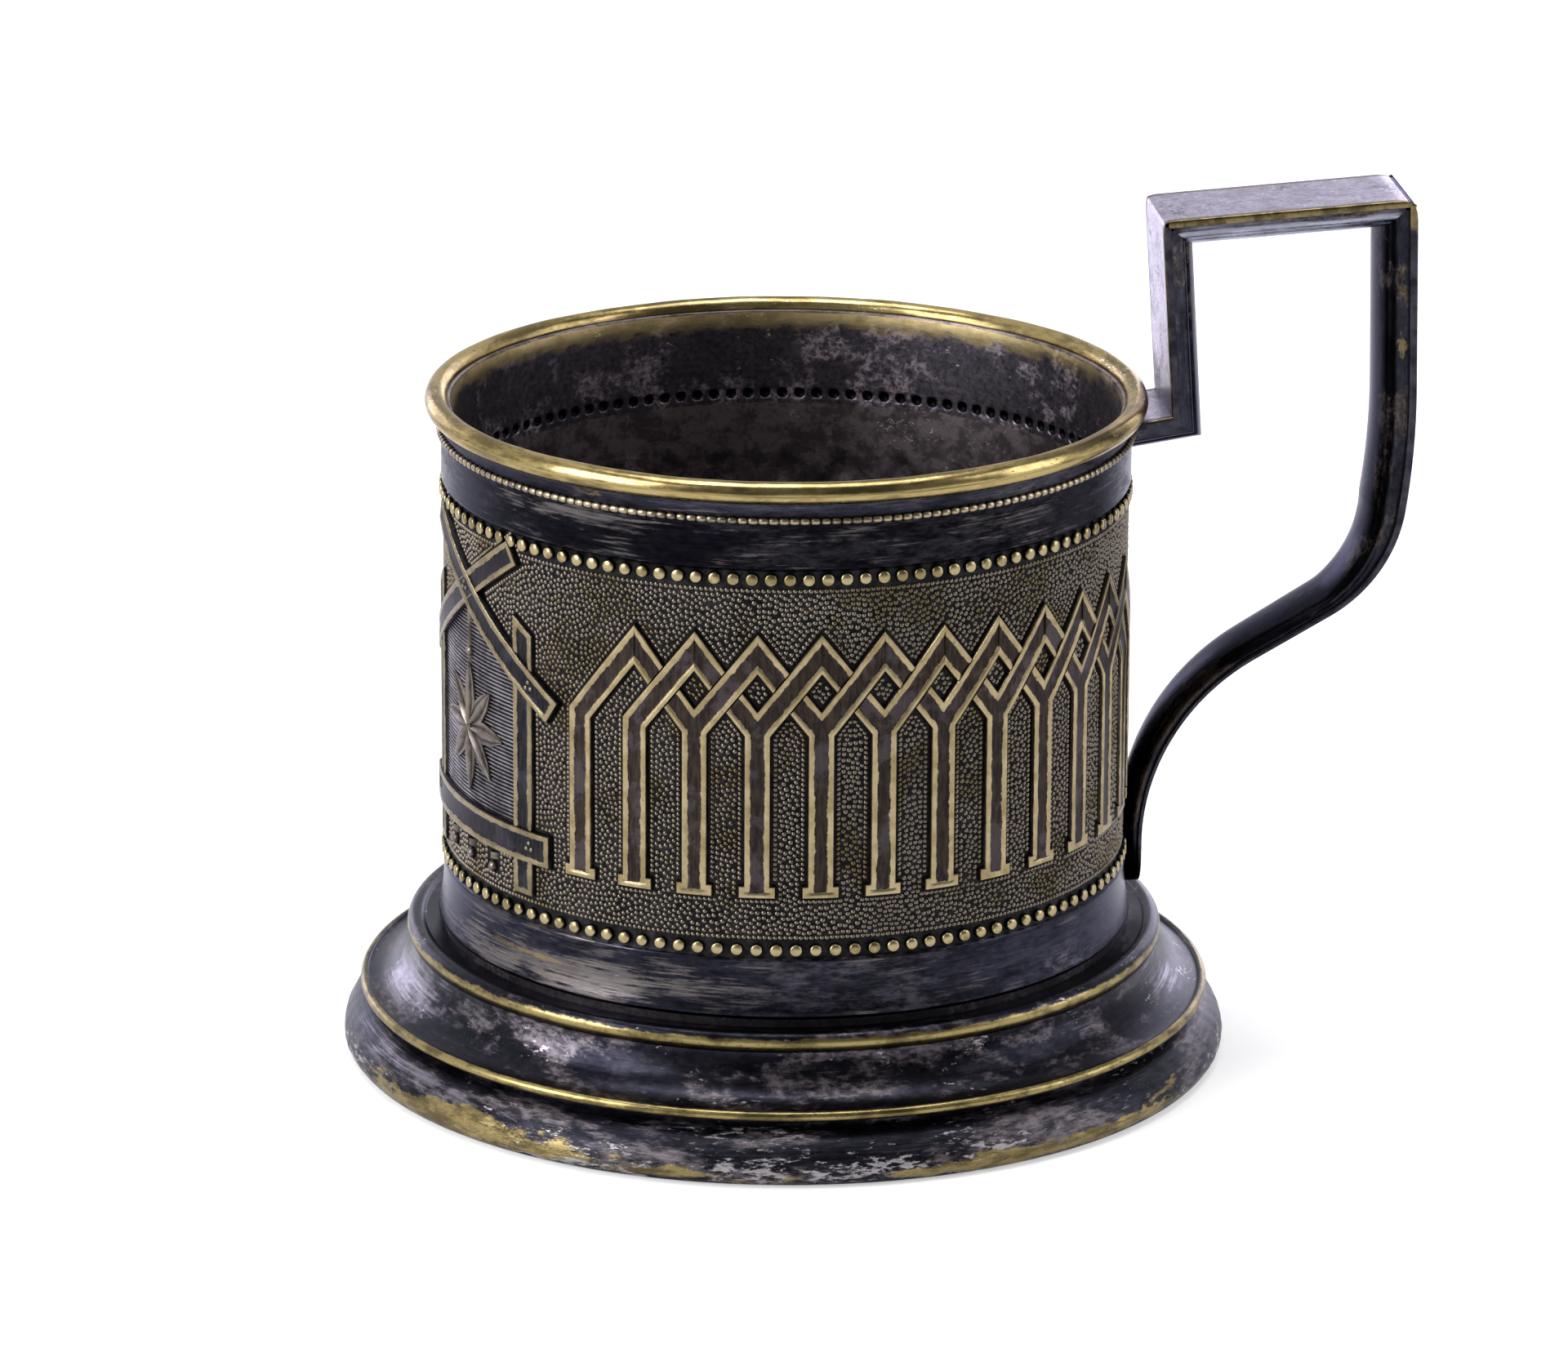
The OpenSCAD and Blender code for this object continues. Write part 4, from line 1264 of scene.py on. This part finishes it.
def pebble_spots(size):
    """Places of the pebbles: rows that follow the ribbons, then darts thrown between them."""
    around = 2 * math.pi * size.ground
    gap = size.pebble_gap
    clear = 0.12 + size.pebble_size / 2
    upper, lower = (z for name, z, count, free in pearl_rows(size))
    low, high = lower + 1.27, upper - 1.27
    cart = Cartouche(size)
    regions = [region for run in arcades(size) for region in run.regions()]
    regions += cart.regions() + [cart.cloth()] + cart.drop_regions()
    random.seed(23)
    tries = []
    pitch = 1.2 * gap
    for k in range(int(around / pitch)):
        tries.append((pitch * k, low + random.uniform(-0.03, 0.03)))
        tries.append((pitch * (k + 0.5), high + random.uniform(-0.03, 0.03)))
    for region in regions:
        outline = region.inset(-clear - 0.01)
        for a, b, free in zip(outline, np.roll(outline, -1, 0), region.free):
            count = int(np.linalg.norm(b - a) / (1.17 * gap)) if free else 0
            tries += [tuple(a + (b - a) * (k + 0.5) / count) for k in range(count)]
    in_rows = len(tries)
    tries += [(random.uniform(0, around), random.uniform(low, high)) for k in range(300000)]
    tries = np.array(tries)
    tries[:, 0] %= around
    free = clear_of_regions(tries, regions, clear, around)
    handle = np.abs((tries[:, 0] + around / 2) % around - around / 2)
    free &= ~((handle < 4.3) & (tries[:, 1] < 46))
    kept = np.where(free)[0]
    kept = kept[spread_out(tries[kept], gap, around)]
    return even_out(tries[kept], (kept < in_rows).sum(), 1.28 * gap), around


def clear_of_regions(spots, regions, clear, around):
    """Which spots lie clear of all regions, looked at once more a turn to either side."""
    free = np.ones(len(spots), bool)
    for region in regions:
        low, high = region.points[:, 0].min() - 1, region.points[:, 0].max() + 1
        for shift in (-around, 0.0, around):
            s = spots[:, 0] + shift
            near = np.where(free & (s > low) & (s < high))[0]
            if len(near):
                free[near] &= region.distance(spots[near] + (shift, 0.0)) > clear
    return free


def spread_out(spots, gap, around):
    """Numbers of the spots that stand at least a gap from every earlier one that was kept."""
    columns = int(around / gap)
    cell = around / columns
    grid, kept = {}, []

    def crowded(s, z, column, row):
        for i in (column - 1, column, column + 1):
            for j in (row - 1, row, row + 1):
                for t, y in grid.get((i % columns, j), ()):
                    away = abs(t - s)
                    away = min(away, around - away)
                    if away * away + (y - z) ** 2 < gap * gap:
                        return True
        return False

    for n, (s, z) in enumerate(spots.tolist()):
        column, row = int(s / cell), int(z / cell)
        if not crowded(s, z, column, row):
            grid.setdefault((column, row), []).append((s, z))
            kept.append(n)
    return kept


def nearest(spots, count):
    """The nearest neighbours of each spot, and how far away they are."""
    tree = KDTree(len(spots))
    for i, (s, z) in enumerate(spots):
        tree.insert((s, z, 0), i)
    tree.balance()
    near = [tree.find_n((s, z, 0), count + 1)[1:] for s, z in spots]
    return (np.array([[i for place, i, away in row] for row in near]),
            np.array([[away for place, i, away in row] for row in near]))


def even_out(spots, rows, least):
    """Pushes close spots apart; the first ones, which stand in rows, stay where they are."""
    for _ in range(6):
        near, away = nearest(spots, 6)
        push = (spots[:, None, :] - spots[near]) / np.maximum(away, 1e-6)[:, :, None]
        step = (push * np.clip(least - away, 0, None)[:, :, None]).sum(1) * 0.3
        spots[rows:] += step[rows:]
    near, away = nearest(spots, 4)
    kept = np.ones(len(spots), bool)
    for i in range(len(spots) - 1, -1, -1):
        kept[i] = not any(kept[j] for j in near[i][away[i] < 0.78 * least])
    return spots[kept]


class HOLDER_OT_pebbles(bpy.types.Operator):
    """Makes the stippled ground of close pebbles between the ribbons"""
    bl_idname = "holder.pebbles"
    bl_label = "Pebbles"

    def execute(self, context):
        size = read_sizes(context)
        spots, around = pebble_spots(size)
        away = nearest(spots, 3)[1]
        fit = np.clip(0.97 * away.mean(axis=1) / size.pebble_size, 0.76, 1.12)
        stud = dome("pebble", 8, 2, size.pebble_size / 2, 0.20, 0.7)
        parts = 5
        for k in range(parts):
            own = (spots[:, 0] >= around * k / parts) & (spots[:, 0] < around * (k + 1) / parts)
            points = on_wall(*spots[own].T, size.ground - 0.02, size.ground)
            scatter(f"pebbles_{k + 1}", points, stud, "pebble_plating", (0.95, 1.03), 11 + k,
                    fit[own])
        bpy.data.objects.remove(stud)
        return {"FINISHED"}


# Rim and wire

class HOLDER_OT_rim(bpy.types.Operator):
    """Makes the rolled rim"""
    bl_idname = "holder.rim"
    bl_label = "Rim"

    def execute(self, context):
        size = read_sizes(context)
        radius, height = size.rim_radius, size.rim_height
        line = arc((size.neck - 0.05, height), radius, 0, 360, 28)[:-1]
        points, faces, turned = lathe([(max(r, size.bore_radius + 0.06), z) for r, z in line], 360)
        turn = np.arctan2(points[:, 1], points[:, 0])
        wave = 0.035 * np.sin(5 * turn + 0.6) + 0.02 * np.sin(11 * turn + 1.7)
        wave += 0.012 * np.sin(29 * turn)
        points[:, 2] += np.where(points[:, 2] > height, wave - 0.05, 0)
        high = (points[:, 2] - height) / radius
        # Painted reflection: the rim made light at its two ends, round its back, and on the lower
        # half of its front.
        pale = np.maximum.reduce([1.2 * side_bump(points, 4, 26) * (high > -0.6),
                                  0.8 * side_bump(points, 178, 20) * (high > -0.6),
                                  0.55 * side_bump(points, 90, 45),
                                  0.72 * side_bump(points, 262, 30) * ramp(-high, 0, 0.5)])
        wear = 0.92 - 0.35 * np.clip(-high - 0.35, 0, 1)
        made = piece("rolled_rim", points, [face[::-1] for face in faces],
                     {"lathe": turned, "wear": wear, "pale": pale}, materials=["rim_brass"])
        outward(made)
        settle(made, "worn_rim", "rim_ring")
        return {"FINISHED"}


class HOLDER_OT_wire(bpy.types.Operator):
    """Makes the fine beaded wire under the rim"""
    bl_idname = "holder.wire"
    bl_label = "Beaded wire"

    def execute(self, context):
        size = read_sizes(context)
        gap = math.degrees(math.asin(6.3 / size.band))
        beads, steps, sides = 205, 5, 8
        points, crown = [], []
        turns = np.radians(np.linspace(gap, 360 - gap, beads * steps + 1))
        for i, turn in enumerate(turns):
            swell = math.sin(math.pi * (i % steps) / steps)
            radius = 0.40 * (0.70 + 0.30 * swell ** 0.6)
            for k in range(sides):
                a = 2 * math.pi * k / sides
                out = size.band + 0.09 + radius * math.cos(a)
                points.append((out * math.cos(turn), out * math.sin(turn),
                               size.wire_height + radius * math.sin(a)))
                crown.append((0.15 + 0.85 * swell) * max(0.0, math.cos(a) * 0.5 + 0.5))
        made = piece("beaded_wire_beads", points, tube(0, len(turns), sides), {"crown": crown},
                     smooth_angle=60, materials=["bead_brass"])
        outward(made)
        settle(made, "beaded_brass", "beaded_wire")
        return {"FINISHED"}


# Foot

class HOLDER_OT_foot(bpy.types.Operator):
    """Makes the spun foot, its heavy base ring and the disc under the glass"""
    bl_idname = "holder.foot"
    bl_label = "Foot"

    def execute(self, context):
        self.skirt()
        self.ring()
        seat = frame["nodes"]["glass_seat"]
        seat.data.materials.clear()
        seat.data.materials.append(bpy.data.materials["seat_film"])
        return {"FINISHED"}

    def skirt(self):
        """The spun sheet: flange, shoulder bead, hollow moulding, lip and hem."""
        opening, hem_out, hem_in, hem_z = 30.0, 43.3, 42.5, 0.4
        hollow_c, hollow_r, sheet = (45.2, 12.6), 5.4, 0.8
        outer = [(opening, 13.7), (34.0, 13.7), (37.3, 13.7)]
        outer += arc((39.2, 13.1), 1.1, 140, -45, 16)
        outer += arc(hollow_c, hollow_r, 185, 262, 22)
        outer += arc((44.8, 7.0), 0.55, 120, -90, 12)
        outer += [(hem_out, 6.45), (hem_out, hem_z)]
        inner = [(hem_in, hem_z), *arc(hollow_c, hollow_r + sheet, 244, 180, 14),
                 (39.0, 12.9), (opening, 12.9)]
        points, faces, turned = lathe(rounded(outer, 0.12, steps=2) + inner, 360)
        radius, turn, z = cylindric(points)
        wear = 0.92 * bump_at(z, 12.75, 1.1) * (radius > 39.95) * (radius < 40.6)
        wear += 0.88 * bump_at(z, 6.95, 0.85) * (radius > 44.7)
        hollow = ramp(z, 7.4, 8.4) * ramp(z, 12.6, 11.6)
        # Painted sheen on the hollow's left and right (tint), and painted shade on its front right
        # (level).
        tint = hollow * (0.85 * side_bump(points, 186, 14) + 0.50 * side_bump(points, 343, 11))
        level = -0.7 * hollow * side_bump(points, 310, 20)
        made = piece("spun_skirt", points, faces,
                     {"lathe": turned, "wear": np.clip(wear, 0, 1), "tint": tint, "level": level},
                     materials=["foot_film"])
        outward(made)
        settle(made, "spun_foot", "foot_skirt")

    def ring(self):
        """The heavy ring, rough with old deposits."""
        inner, shoulder_z, shoulder_r = 43.3, 1.4, 3.9
        line = [(inner, 0.02), (inner, 5.3)]
        line += arc((inner, shoulder_z), shoulder_r, 88, 0, 19)
        line += arc((45.8, shoulder_z), 1.4, -4, -90, 12)
        points, faces, turned = lathe(line, 960)
        radius, turn, z = cylindric(points)
        rough = np.sin(31 * turn + 2 * z) * np.sin(53 * turn - 1.3 * z)
        rough *= np.sin(17 * turn + 0.7 * z)
        points = pushed(points, (-0.06 + 0.06 * rough) * (radius > 44.0) * (z > 0.3))
        wear = 0.70 * side_bump(points, 220, 24) * bump_at(z, 1.9, 1.8)
        wear += 0.50 * side_bump(points, 300, 30) * bump_at(z, 1.3, 1.2)
        wear += 0.32 * bump_at(z, 0.9, 1.1)
        wear += 0.42 * side_bump(points, 322, 9) * bump_at(z, 3.0, 1.0)
        crust = 0.64 * bump_at(z, 1.4, 2.4) * (0.45 + 0.55 * side_bump(points, 275, 50))
        # Painted sheen on the left of the ring's top (tint), and painted light over the ring's top
        # under the lip, where the lip's shade falls (level).
        tint = 0.7 * side_bump(points, 200, 14) * bump_at(z, 4.2, 1.2)
        made = piece("heavy_base_ring", points, faces,
                     {"lathe": turned, "wear": np.clip(wear, 0, 1), "crust": crust, "tint": tint,
                      "level": ramp(z, 4.2, 5.2)}, materials=["ring_film"])
        outward(made)
        settle(made, "heavy_ring", "base_ring")


# Handle

def ahead_of(heading):
    """The direction of a heading, in degrees, in the plane of the handle."""
    a = math.radians(heading)
    return np.array([math.cos(a), math.sin(a)])


def right_of(heading):
    """The direction to the right of a heading."""
    a = math.radians(heading)
    return np.array([math.sin(a), -math.cos(a)])


def crossing(a, heading_a, b, heading_b):
    """Where the lines through a and b meet."""
    da, db, gap = ahead_of(heading_a), ahead_of(heading_b), b - a
    return a + da * (gap[0] * db[1] - gap[1] * db[0]) / (da[0] * db[1] - da[1] * db[0])


class Bar:
    """The handle's path, given by the strap's outer face, from the rim round to the tongue."""
    # headings of its runs, in degrees
    foot, leg, top, grip, bow, arm, tongue = 8.7, 93.8, 3.7, -88.8, -98.5, -149.5, -88.0
    # radii of the wall and of the path's arcs, and the length of the tongue
    ground, band, bow_r, bend_r, reverse_r, tongue_l = 36.0, 36.35, 80.0, 16.0, 23.5, 4.6
    # widths of bar and tongue, and the tongue's share of the depth
    width, tongue_w, tongue_depth = 12.0, 7.0, 0.56
    # how far it stands out and up, where it starts, and the height of its end
    reach, above_rim, foot_l, foot_out, foot_down, end_z = 30.2, 19.95, 4.45, 4.1, 3.0, 16.2

    def __init__(self):
        end = np.array([self.band + 1.95, self.end_z])
        self.tongue_start = end - self.tongue_l * ahead_of(self.tongue)
        self.reverse_c = self.tongue_start - self.reverse_r * right_of(self.tongue)
        arm_end = self.reverse_c + self.reverse_r * right_of(self.arm)
        bend_run = self.bend_r * (right_of(self.arm) - right_of(self.bow))
        bow_run = self.bow_r * (right_of(self.bow) - right_of(self.grip))
        out = arm_end[0] + bend_run[0] + bow_run[0] - (self.ground + self.reach)
        self.arm_l = out / math.cos(math.radians(self.arm))
        self.arm_start = arm_end - self.arm_l * ahead_of(self.arm)
        self.bend_c = self.arm_start + self.bend_r * right_of(self.arm)
        self.grip_end = self.arm_start + bend_run + bow_run
        self.bow_c = self.grip_end + self.bow_r * right_of(self.grip)
        up = self.grip_end[1] - (RIM_TOP + self.above_rim)
        grip_l = up / math.sin(math.radians(self.grip))
        self.outer_corner = self.grip_end - grip_l * ahead_of(self.grip)
        self.leg_corner = np.array([self.ground + self.foot_out, RIM_TOP - self.foot_down])
        self.inner_corner = crossing(self.leg_corner, self.leg, self.outer_corner, self.top)
        self.start = self.leg_corner - self.foot_l * ahead_of(self.foot)
        self.bend_start = self.bend_c - self.bend_r * right_of(self.bow)

    def stations(self):
        """Point, vector into the bar, width share and depth share, all along the path."""
        made = [(self.start, right_of(self.foot), 1.0, 1.0)]

        def straight(a, b, heading, count, near=()):
            """Stations along a straight run, closer to one another at its ends where asked."""
            long = np.linalg.norm(b - a)
            evenly = (long * k / count for k in range(1, count))
            for away in (*near, *evenly, *(long - n for n in near[::-1])):
                made.append((a + (b - a) * away / long, right_of(heading), 1.0, 1.0))

        def mitre(p, a, b):
            """A station at a corner from one heading to the next."""
            into = right_of((a + b) / 2) / math.cos(math.radians((b - a) / 2))
            made.append((p, into, 1.0, 1.0))

        def tapered(p, heading, u, tip=1.0):
            """A station at a share of the taper from the bend to the tongue."""
            wide = tip * (1 - (1 - self.tongue_w / self.width) * u)
            deep = 1 - (1 - self.tongue_depth) * min(1.0, u / 0.25)
            made.append((p, right_of(heading), wide, deep))

        near = (0.25, 0.55, 0.95, 1.5, 2.2)
        straight(self.start, self.leg_corner, self.foot, 2)
        mitre(self.leg_corner, self.foot, self.leg)
        straight(self.leg_corner, self.inner_corner, self.leg, 8, near)
        mitre(self.inner_corner, self.leg, self.top)
        straight(self.inner_corner, self.outer_corner, self.top, 8, near)
        mitre(self.outer_corner, self.top, self.grip)
        straight(self.outer_corner, self.grip_end, self.grip, 8, near)
        bend_l = math.radians(self.bow - self.arm) * self.bend_r
        reverse_l = math.radians(self.tongue - self.arm) * self.reverse_r
        taper_l = bend_l + self.arm_l + reverse_l + self.tongue_l
        for h in np.linspace(self.grip, self.bow, 9)[:-1]:
            tapered(self.bow_c - self.bow_r * right_of(h), h, 0.0)
        for k in range(25):
            h = self.bow + (self.arm - self.bow) * k / 24
            tapered(self.bend_c - self.bend_r * right_of(h), h, bend_l * k / 24 / taper_l)
        for k in range(1, 5):
            run = self.arm_l * k / 5
            tapered(self.arm_start + run * ahead_of(self.arm), self.arm, (bend_l + run) / taper_l)
        for k in range(31):
            h = self.arm + (self.tongue - self.arm) * k / 30
            run = bend_l + self.arm_l + reverse_l * k / 30
            tapered(self.reverse_c + self.reverse_r * right_of(h), h, run / taper_l)
        for a in np.radians(9 * np.arange(1, 11)):
            run = self.tongue_l * ahead_of(self.tongue) * math.sin(a)
            tapered(self.tongue_start + run, self.tongue, 1.0, max(0.2, math.cos(a)))
        return made


BAR = Bar()


def sweep(section, stations):
    """Carries a section (across, depth, wear) along the bar, its two upper corners worn round.
    Returns points, faces, wear, and the bar vector: length along the bar, across, depth."""
    points, wear, bar = [], [], []
    run = 0.0
    for i, (p, into, wide, deep) in enumerate(stations):
        if i:
            run += float(np.linalg.norm(p - stations[i - 1][0]))
        blunt = max(0.03, *(most * max(0.0, 1 - np.linalg.norm(p - corner) / reach) ** 2
                            for corner, most, reach in ((BAR.inner_corner, 0.36, 1.6),
                                                        (BAR.outer_corner, 0.72, 2.4))))
        for across, depth, worn in section:
            at = p + into * max(depth * deep, blunt)
            points.append((at[0], across * wide, at[1]))
            wear.append(worn)
            bar.append((run, across, depth))
    faces = tube(0, len(stations), len(section))
    return landed(np.array(points)), faces, np.array(wear), np.array(bar)


def landed(points):
    """The bar's points, with its ends kept just inside the sleeve's sheet."""
    least = 35.75
    radius = np.hypot(points[:, 0], points[:, 1])
    share = np.where(radius < least, least / np.maximum(radius, 1e-6), 1.0)
    return points * np.stack([share, share, np.ones(len(points))], 1)


def marks(stations):
    """Lengths along the bar to its inner corner, its outer corner and the bend under the grip."""
    places = np.array([p for p, into, wide, deep in stations])
    run = np.cumsum(np.linalg.norm(np.diff(places, axis=0, prepend=places[:1]), axis=1))
    return [run[np.linalg.norm(places - place, axis=1).argmin()]
            for place in (BAR.inner_corner, BAR.outer_corner, BAR.bend_start)]


class HOLDER_OT_handle(bpy.types.Operator):
    """Makes the handle's flat strap and the rounded moulding inside it"""
    bl_idname = "holder.handle"
    bl_label = "Handle"

    def execute(self, context):
        stations = BAR.stations()
        self.strap(stations, *marks(stations))
        self.moulding(stations, *marks(stations))
        return {"FINISHED"}

    def strap(self, stations, leg, top, grip):
        """The flat strap: bright along its top and its worn edges, dark with painted shade on its
        sides.
        """
        half, thick = BAR.width / 2, 0.9
        line = [(-half, thick), (-half, 0.0), (half, 0.0), (half, thick)]
        line = rounded(line, 0.28, closed=True)
        section = []
        for (x, y), (on, _) in zip(line, line[1:] + line[:1]):
            shares = (0.0, 0.06, 0.15, 0.32, 0.5, 0.68, 0.85, 0.94) if abs(on - x) > 4 else (0.0,)
            for across in (x + (on - x) * t for t in shares):
                worn = np.clip(1.05 - (half - abs(across)) / 1.5, 0, 1)
                section.append((across, y, worn * (0.85 if y < 0.05 else 1.0)))
        points, faces, wear, bar = sweep(section, stations)
        run, across, depth = bar.T
        on_top = ramp(run, leg - 0.4, leg + 0.4) * ramp(run, top + 7.0, top)
        edge = ramp(depth, 0.32, 0.0)
        side = np.abs(across) > half - 0.3
        side_wear = np.maximum.reduce([on_top, 0.75 * edge * (run < grip),
                                       0.95 * edge * (run < leg)])
        wear = wear * np.where(side, side_wear, 0.55 + 0.45 * on_top)
        wear *= np.where(run > top + 4.0, 0.62, 1.0)
        # Painted shade: the strap's sides, part of its outer face along the top run, and its outer
        # face near the rim made dark.
        dull = side + (0.43 * on_top + 0.75 * bump_at(run, 6.0, 3.0)) * (depth < 0.1)
        made = piece("handle_strap_bar", points, faces,
                     {"wear": wear, "bar": bar, "dull": np.clip(dull, 0, 1)}, smooth_angle=50,
                     materials=["strap_plating"])
        outward(made)
        settle(made, "bright_strap", "handle_strap")

    def moulding(self, stations, leg, top, grip):
        """The half-round moulding with its two grooves, bright under the top run with a painted
        highlight, and with painted light and shade along it.
        """
        half, base, high = 5.3, 0.9, 2.9
        side = 0.12 * high
        section = []
        for degrees in np.linspace(180, 0, 41):
            groove = 0.16 * (bump_at(degrees, 31.5, 3.5) + bump_at(degrees, 148.5, 3.5))
            a = math.radians(degrees)
            section.append(((half - groove) * math.cos(a),
                            base + side + (high - side - groove) * math.sin(a), 0.0))
        section += [(half, base, 0.0), (-half, base, 0.0)]
        points, faces, wear, bar = sweep(section, stations)
        run, across, depth = bar.T
        blot = bump_at(run, top + 9, 2.4) + bump_at(run, top + 16, 2.0)
        blot *= 0.72 * bump_at(depth, 1.5, 0.9)
        # Level: painted light along the foot and the leg, painted shade round the arm below the grip.
        level = 0.7 * (run < leg) - 0.6 * bump_at(run, (grip + run.max()) / 2, 20)
        # Painted highlight: the moulding's underside along the top run made light.
        painted_highlight = ramp(run, leg + 0.5, leg + 2.0) * ramp(run, top - 1.0, top - 2.5)
        painted_highlight *= np.clip(depth - 1.1, 0.32, 1)
        made = piece("handle_moulding_bar", points, faces,
                     {"wear": np.clip(blot, 0, 1), "bar": bar, "painted_highlight": painted_highlight, "level": level},
                     smooth_angle=50, materials=["moulding_film"])
        outward(made)
        settle(made, "dark_moulding", "handle_moulding")


# Panel and main

OPERATORS = (HOLDER_OT_stage, HOLDER_OT_sleeve, HOLDER_OT_pearls, HOLDER_OT_arcade,
             HOLDER_OT_cartouche, HOLDER_OT_pebbles, HOLDER_OT_rim, HOLDER_OT_wire,
             HOLDER_OT_foot, HOLDER_OT_handle)
GROUPS = (("holder_sizes", HolderSizes), ("holder_finish", HolderFinish),
          ("holder_stage", StageSettings))


class HOLDER_PT_panel(bpy.types.Panel):
    """Lists the holder's sizes, colours and operators"""
    bl_idname = "HOLDER_PT_panel"
    bl_label = "Tea glass holder"
    bl_space_type = "VIEW_3D"
    bl_region_type = "UI"
    bl_category = "Holder"

    def draw(self, context):
        for operator in OPERATORS:
            self.layout.operator(operator.bl_idname)
        for name, group in GROUPS:
            box = self.layout.box()
            for key in group.__annotations__:
                box.prop(getattr(context.scene, name), key)


def register():
    for name, group in GROUPS:
        bpy.utils.register_class(group)
        setattr(bpy.types.Scene, name, bpy.props.PointerProperty(type=group))
    for kind in (*OPERATORS, HOLDER_PT_panel):
        bpy.utils.register_class(kind)


def unregister():
    for kind in (HOLDER_PT_panel, *OPERATORS[::-1]):
        bpy.utils.unregister_class(kind)
    for name, group in GROUPS[::-1]:
        delattr(bpy.types.Scene, name)
        bpy.utils.unregister_class(group)


def main():
    register()
    make_materials(bpy.context.scene.holder_finish)
    for operator in OPERATORS:
        group, name = operator.bl_idname.split(".")
        if getattr(getattr(bpy.ops, group), name)() != {"FINISHED"}:
            raise RuntimeError(f"{operator.bl_label} did not finish")


if __name__ == "__main__":
    main()
